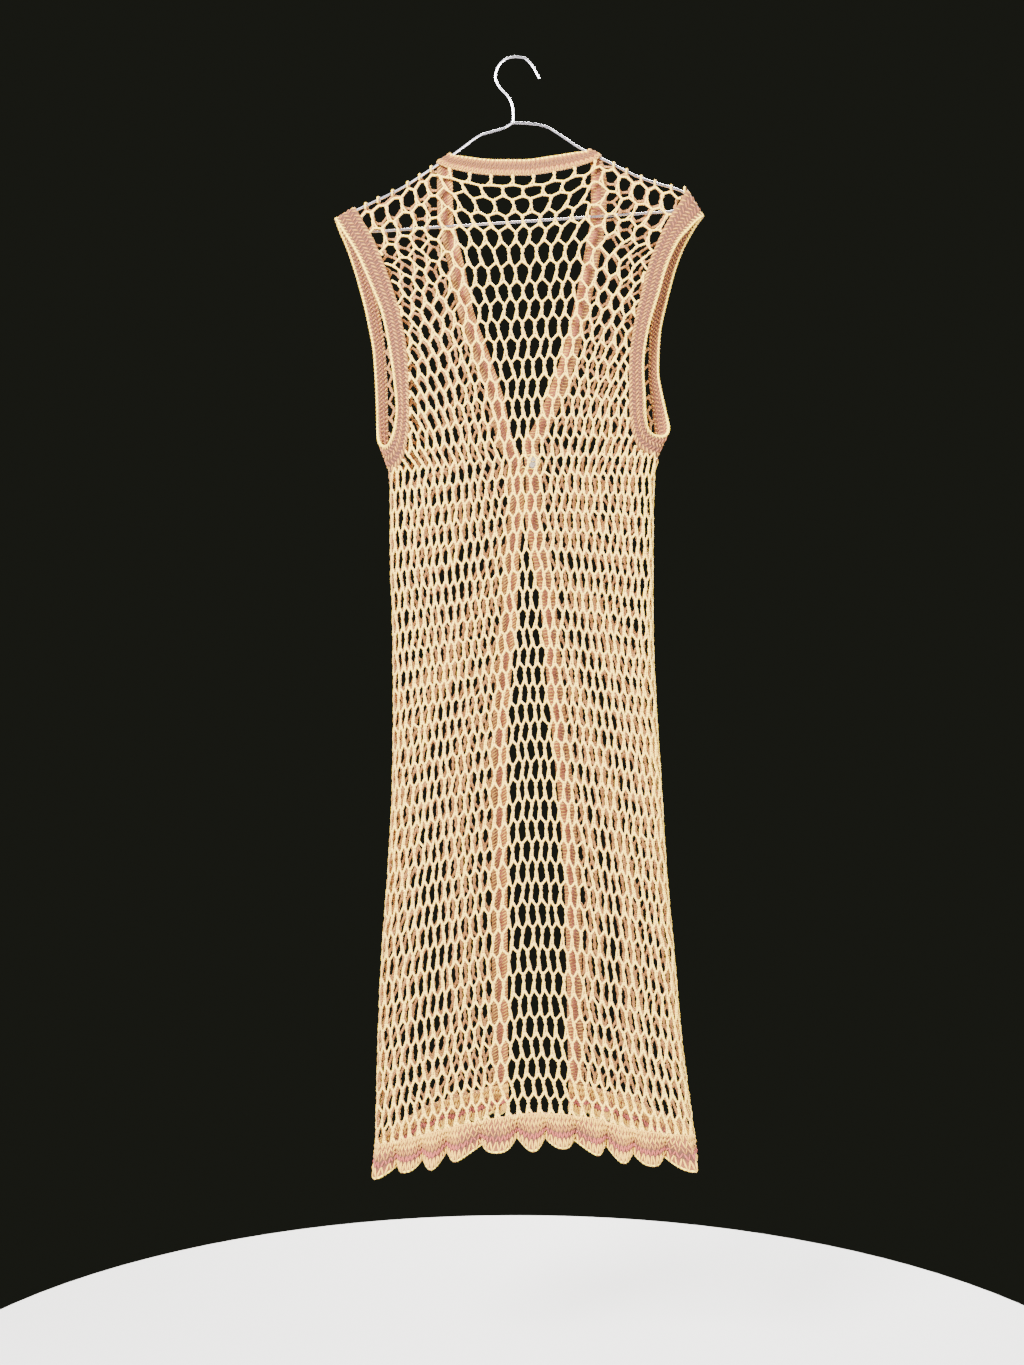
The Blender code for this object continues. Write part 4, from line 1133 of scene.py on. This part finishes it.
BACK_LOBES = (-158, -124, -98, -68, -20, 19, 48, 88, 121, 150, 195)
LEFT_LOBES = (-156, -128, -99, -71, -43, -17)
RIGHT_LOBES = (71, 98, 126, 156, 192)
RUFFLE_HEIGHT = 34.0
RUFFLE_WAVE = 10.5
RUFFLE_SCALLOP = 6.0
RUFFLE_FLARE = 3.0
RUFFLE_LEAN = 3.2
RUFFLE_UNEVEN = 0.28  # how much the depth of the waves changes from lobe to lobe
RUFFLE_ENDS = 12.0  # over which the waves die out at both ends of a strip
RUFFLE_ROWS = table(
    "at height thick lift lobes",
    (0.09, 0.20, 1.00, 1.0, 2),
    (0.27, 0.20, 0.95, 1.0, 2),
    (0.44, 0.18, 0.95, 1.0, 2),
    (0.61, 0.18, 1.15, 1.1, 2),
    (0.83, 0.30, 1.20, 1.1, 2),
)
ROSE = (0.32, 0.055, 0.04)
# The ground is tan and pink yarn with painted shade where it shows between the stitches.
RUFFLE_GROUND = [(0.0, TAN), (0.25, PINK), (0.5, SHADE), (0.68, SHADE), (0.8, PINK), (1.0, TAN)]
RUFFLE_COLOURS = [
    (0.0, CREAM),
    (0.27, CREAM),
    (0.44, SAND),
    (0.55, ROSE),
    (0.66, ROSE),
    (0.74, CREAM),
    (0.95, CREAM),
    (1.0, BRIGHT),
]
ruffle_ground = rows_material("ruffle ground", RUFFLE_GROUND)
ruffle_stitch = rows_material("ruffle stitches", RUFFLE_COLOURS)


def ruffle_grid(edge, outward, lobes, per_lobe, steps):
    """A gathered strip hung from an edge: rows along it, columns down it."""
    x = edge[:, 0]
    start, end = x[0], x[-1]
    lobe_x = np.array([2 * start - lobes[0], *lobes, 2 * end - lobes[-1]])
    spread = np.arange(per_lobe) / per_lobe
    stations = np.concatenate([blend(a, b, spread) for a, b in zip(lobe_x, lobe_x[1:])])
    inside = stations[(stations > start + 1) & (stations < end - 1)]
    stations = np.unique(np.concatenate([[start], inside, [end]]))
    top, face = along_edge(stations, x, edge), unit(along_edge(stations, x, outward))
    k = np.clip(np.searchsorted(lobe_x, stations) - 1, 0, len(lobe_x) - 2)
    turn = (stations - lobe_x[k]) / (lobe_x[k + 1] - lobe_x[k])
    uneven = blend(np.sin(2.4 * k), np.sin(2.4 * (k + 1)), turn)
    swing = (2 * (np.cos(math.pi * turn) ** 2) ** 0.5 - 1) * (1 + RUFFLE_UNEVEN * uneven)
    swing = swing * ease(np.minimum(stations - start, end - stations) / RUFFLE_ENDS)
    down = np.linspace(0, 1, steps)[None, :, None]
    out = (RUFFLE_FLARE + RUFFLE_WAVE * swing)[:, None, None] * down**0.8
    fall = (RUFFLE_HEIGHT + RUFFLE_SCALLOP * swing)[:, None, None] * down
    lean = (RUFFLE_LEAN * swing * np.clip(stations / 40, -1, 1))[:, None, None] * down
    return top[:, None] + face[:, None] * out + fall * (0, 0, -1.0) + lean * (1.0, 0, 0)


def hem_edge(side, place, columns):
    x, drop = place(columns, np.ones_like(columns))
    return on_cloth(side, x, drop)


dense = np.linspace(0, 1, 300)
left_foot, right_foot = float(left_front.limits(1.0)[0]), float(right_front.limits(1.0)[1])
left_span, right_span = (-FOLD_COLUMN, left_foot), (right_foot, FOLD_COLUMN)
for name, side, place, span, lobes, foot in (
    ("hem_ruffle_back", BACK, back_place, (-FOLD_COLUMN, FOLD_COLUMN), BACK_LOBES, None),
    ("hem_ruffle_left", FRONT, left_front.place, left_span, LEFT_LOBES, "front_band_left"),
    ("hem_ruffle_right", FRONT, right_front.place, right_span, RIGHT_LOBES, "front_band_right"),
):
    edge, outward = hem_edge(side, place, blend(*span, dense))
    if foot:
        tip = band_feet[foot][None]
        edge, outward = (
            (np.concatenate([edge, tip]), np.concatenate([outward, outward[-1:]]))
            if foot.endswith("left")
            else (np.concatenate([tip, edge]), np.concatenate([outward[:1], outward]))
        )
    grid = ruffle_grid(edge, outward, lobes, 12, 11)
    normals = grid_normals(grid, (0, side, 0))
    made = stitch_rows(grid, normals, RUFFLE_ROWS, 5.8, seed=14)
    made += [edge_chain(grid, normals, -1, 1.5), edge_chain(grid, normals, 0, 1.2)]
    cloth, stitches = band(name, grid, normals, ruffle_ground, ruffle_stitch, made)
    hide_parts(name)
    width = np.linalg.norm(np.diff(grid[:, 5], axis=0), axis=1).sum() * MM


# --- Button -------------------------------------------------------------------------------------
# A round pearly button on the inner face of the right front's band, sewn on through its two holes
# and held by a loop of yarn from the left band.  Soft grey and rose drift across it, as in shell.

pearl, tree, main = shader("pearly shell", 0.18)
main.inputs["Coat Weight"].default_value = 0.5
place = node(tree, "TexCoord")
drift = node(
    tree,
    "TexNoise",
    [("Vector", place.outputs["Object"]), ("Scale", 260.0), ("Detail", 2.0), ("Distortion", 1.5)],
)
shell_colour = mixed(tree, drift.outputs[0], (0.52, 0.47, 0.38), (0.20, 0.165, 0.15))
tree.links.new(shell_colour, main.inputs["Base Color"])
nodes["button"].data.materials.clear()
nodes["button"].data.materials.append(pearl)

BUTTON_X, BUTTON_DROP = 18.7, 469.5
BUTTON_THICKNESS, BUTTON_DISH, HOLE_SPACING = 2.2, 0.7, 3.0
seat = float(depth(FRONT, np.array(BUTTON_X), BUTTON_DROP)) - 1.5
face = seat - BUTTON_THICKNESS + BUTTON_DISH
thread = [
    (BUTTON_X + across, out, -BUTTON_DROP + 0.3 * lift)
    for across, out, lift in (
        (-HOLE_SPACING / 2, face + 1.2, 0),
        (-HOLE_SPACING / 2 + 0.1, face - 0.15, 0),
        (-0.7, face - 0.5, 1),
        (0.7, face - 0.5, -1),
        (HOLE_SPACING / 2 - 0.1, face - 0.15, 0),
        (HOLE_SPACING / 2, face + 1.2, 0),
    )
]
loop = [
    (x, seat - 0.2, -drop)
    for x, drop in (
        (5.6, 463.4),
        (10.5, 462.0),
        (18.7, 461.0),
        (24.6, 463.2),
        (27.2, 469.5),
        (24.6, 475.8),
        (18.7, 478.0),
        (10.5, 476.8),
        (5.6, 475.4),
    )
]
sewing = []
for path, thick in ((thread, 0.42), (loop, 0.85)):
    path = np.array(path)[None]
    sewing.append(tubes(path, np.zeros_like(path) + (0.0, -1.0, 0.0), thick, 6))
piece("button_thread_and_loop", sewing, net_yarn)


# --- Hanger -------------------------------------------------------------------------------------
# Thin steel wire, plated: bright, faintly violet, and a little uneven in its polish.
# A bead of weld joins the hook's shank to the arms.

steel, tree, main = shader("plated wire", 0.3)
main.inputs["Metallic"].default_value = 1.0
main.inputs["Base Color"].default_value = (0.80, 0.76, 0.84, 1)
place = node(tree, "TexCoord")
polish = noise(tree, place, 30.0, 2.0)
tree.links.new(maths(tree, "MULTIPLY_ADD", polish, 0.12), main.inputs["Roughness"])
main.inputs["Roughness"].links[0].from_node.inputs[2].default_value = 0.26
for name in ("hanger_hook", "hanger_frame"):
    nodes[name].data.materials.clear()
    nodes[name].data.materials.append(steel)

WELD_X, WELD_DROP = -4.5, 74.9
weld = [(WELD_X + aside, 0.15, -WELD_DROP - 0.15 * aside) for aside in (-3.4, -2.6, -1.3, 0, 1.4, 2.5, 3.2)]
weld = np.array(weld)[None]
bead = tubes(weld, np.zeros_like(weld) + (0.0, 0.0, 1.0), np.array([0.4, 1.3, 1.9, 2.2, 1.9, 1.2, 0.4]), 10)
piece("weld_bead", [bead], steel)


# --- Floor, light and camera --------------------------------------------------------------------
# A pale floor below the vest, and soft light from large panels: one on each side of the camera and
# one behind the vest.

FLOOR_DROP = 1560.0
FLOOR_RADIUS = 750.0
floor_mesh = bpy.data.meshes.new("floor")
rim = np.linspace(0, math.tau, 97)[:-1]
disc = np.stack([FLOOR_RADIUS * np.cos(rim), FLOOR_RADIUS * np.sin(rim), np.full(96, -FLOOR_DROP)], -1)
floor_mesh.from_pydata(disc * MM, [], [range(96)])
floor = bpy.data.objects.new("floor", floor_mesh)
bpy.context.scene.collection.objects.link(floor)
paint, tree, main = shader("pale floor", 0.9)
place = node(tree, "TexCoord")
grain = noise(tree, place, 3.0, 2.0)
floor_colour = mixed(tree, grain, (0.46, 0.45, 0.44), (0.42, 0.41, 0.40))
tree.links.new(floor_colour, main.inputs["Base Color"])
floor_mesh.materials.append(paint)

for name, place, aim, size, power in (
    ("key light", (-1.5, -2.5, 0.7), (0, 0, -0.6), 1.0, 720),
    ("fill light", (1.9, -2.2, -0.3), (0, 0, -0.7), 1.6, 290),
    ("back light", (0.6, 2.5, 0.5), (0, 0, -0.6), 1.8, 800),
):
    lamp = bpy.data.lights.new(name, "AREA")
    lamp.size = size
    lamp.energy = power
    light = bpy.data.objects.new(name, lamp)
    light.location = place
    direction = np.array(aim) - np.array(place)
    light.rotation_euler = (
        math.acos(-direction[2] / np.linalg.norm(direction)),
        0,
        math.atan2(direction[1], direction[0]) - math.pi / 2,
    )
    bpy.context.scene.collection.objects.link(light)

world = bpy.data.worlds.new("studio")
world.use_nodes = True
world.node_tree.nodes["Background"].inputs[0].default_value = (0.013, 0.014, 0.010, 1)
world.node_tree.nodes["Background"].inputs[1].default_value = 1.0
bpy.context.scene.world = world

lens = bpy.data.cameras.new("camera")
lens.lens = 50
lens.sensor_width = 36
camera = bpy.data.objects.new("camera", lens)
camera.location = (-0.006, -2.21, -0.728)
camera.rotation_euler = (math.radians(90), 0, 0)
bpy.context.scene.collection.objects.link(camera)
bpy.context.scene.camera = camera
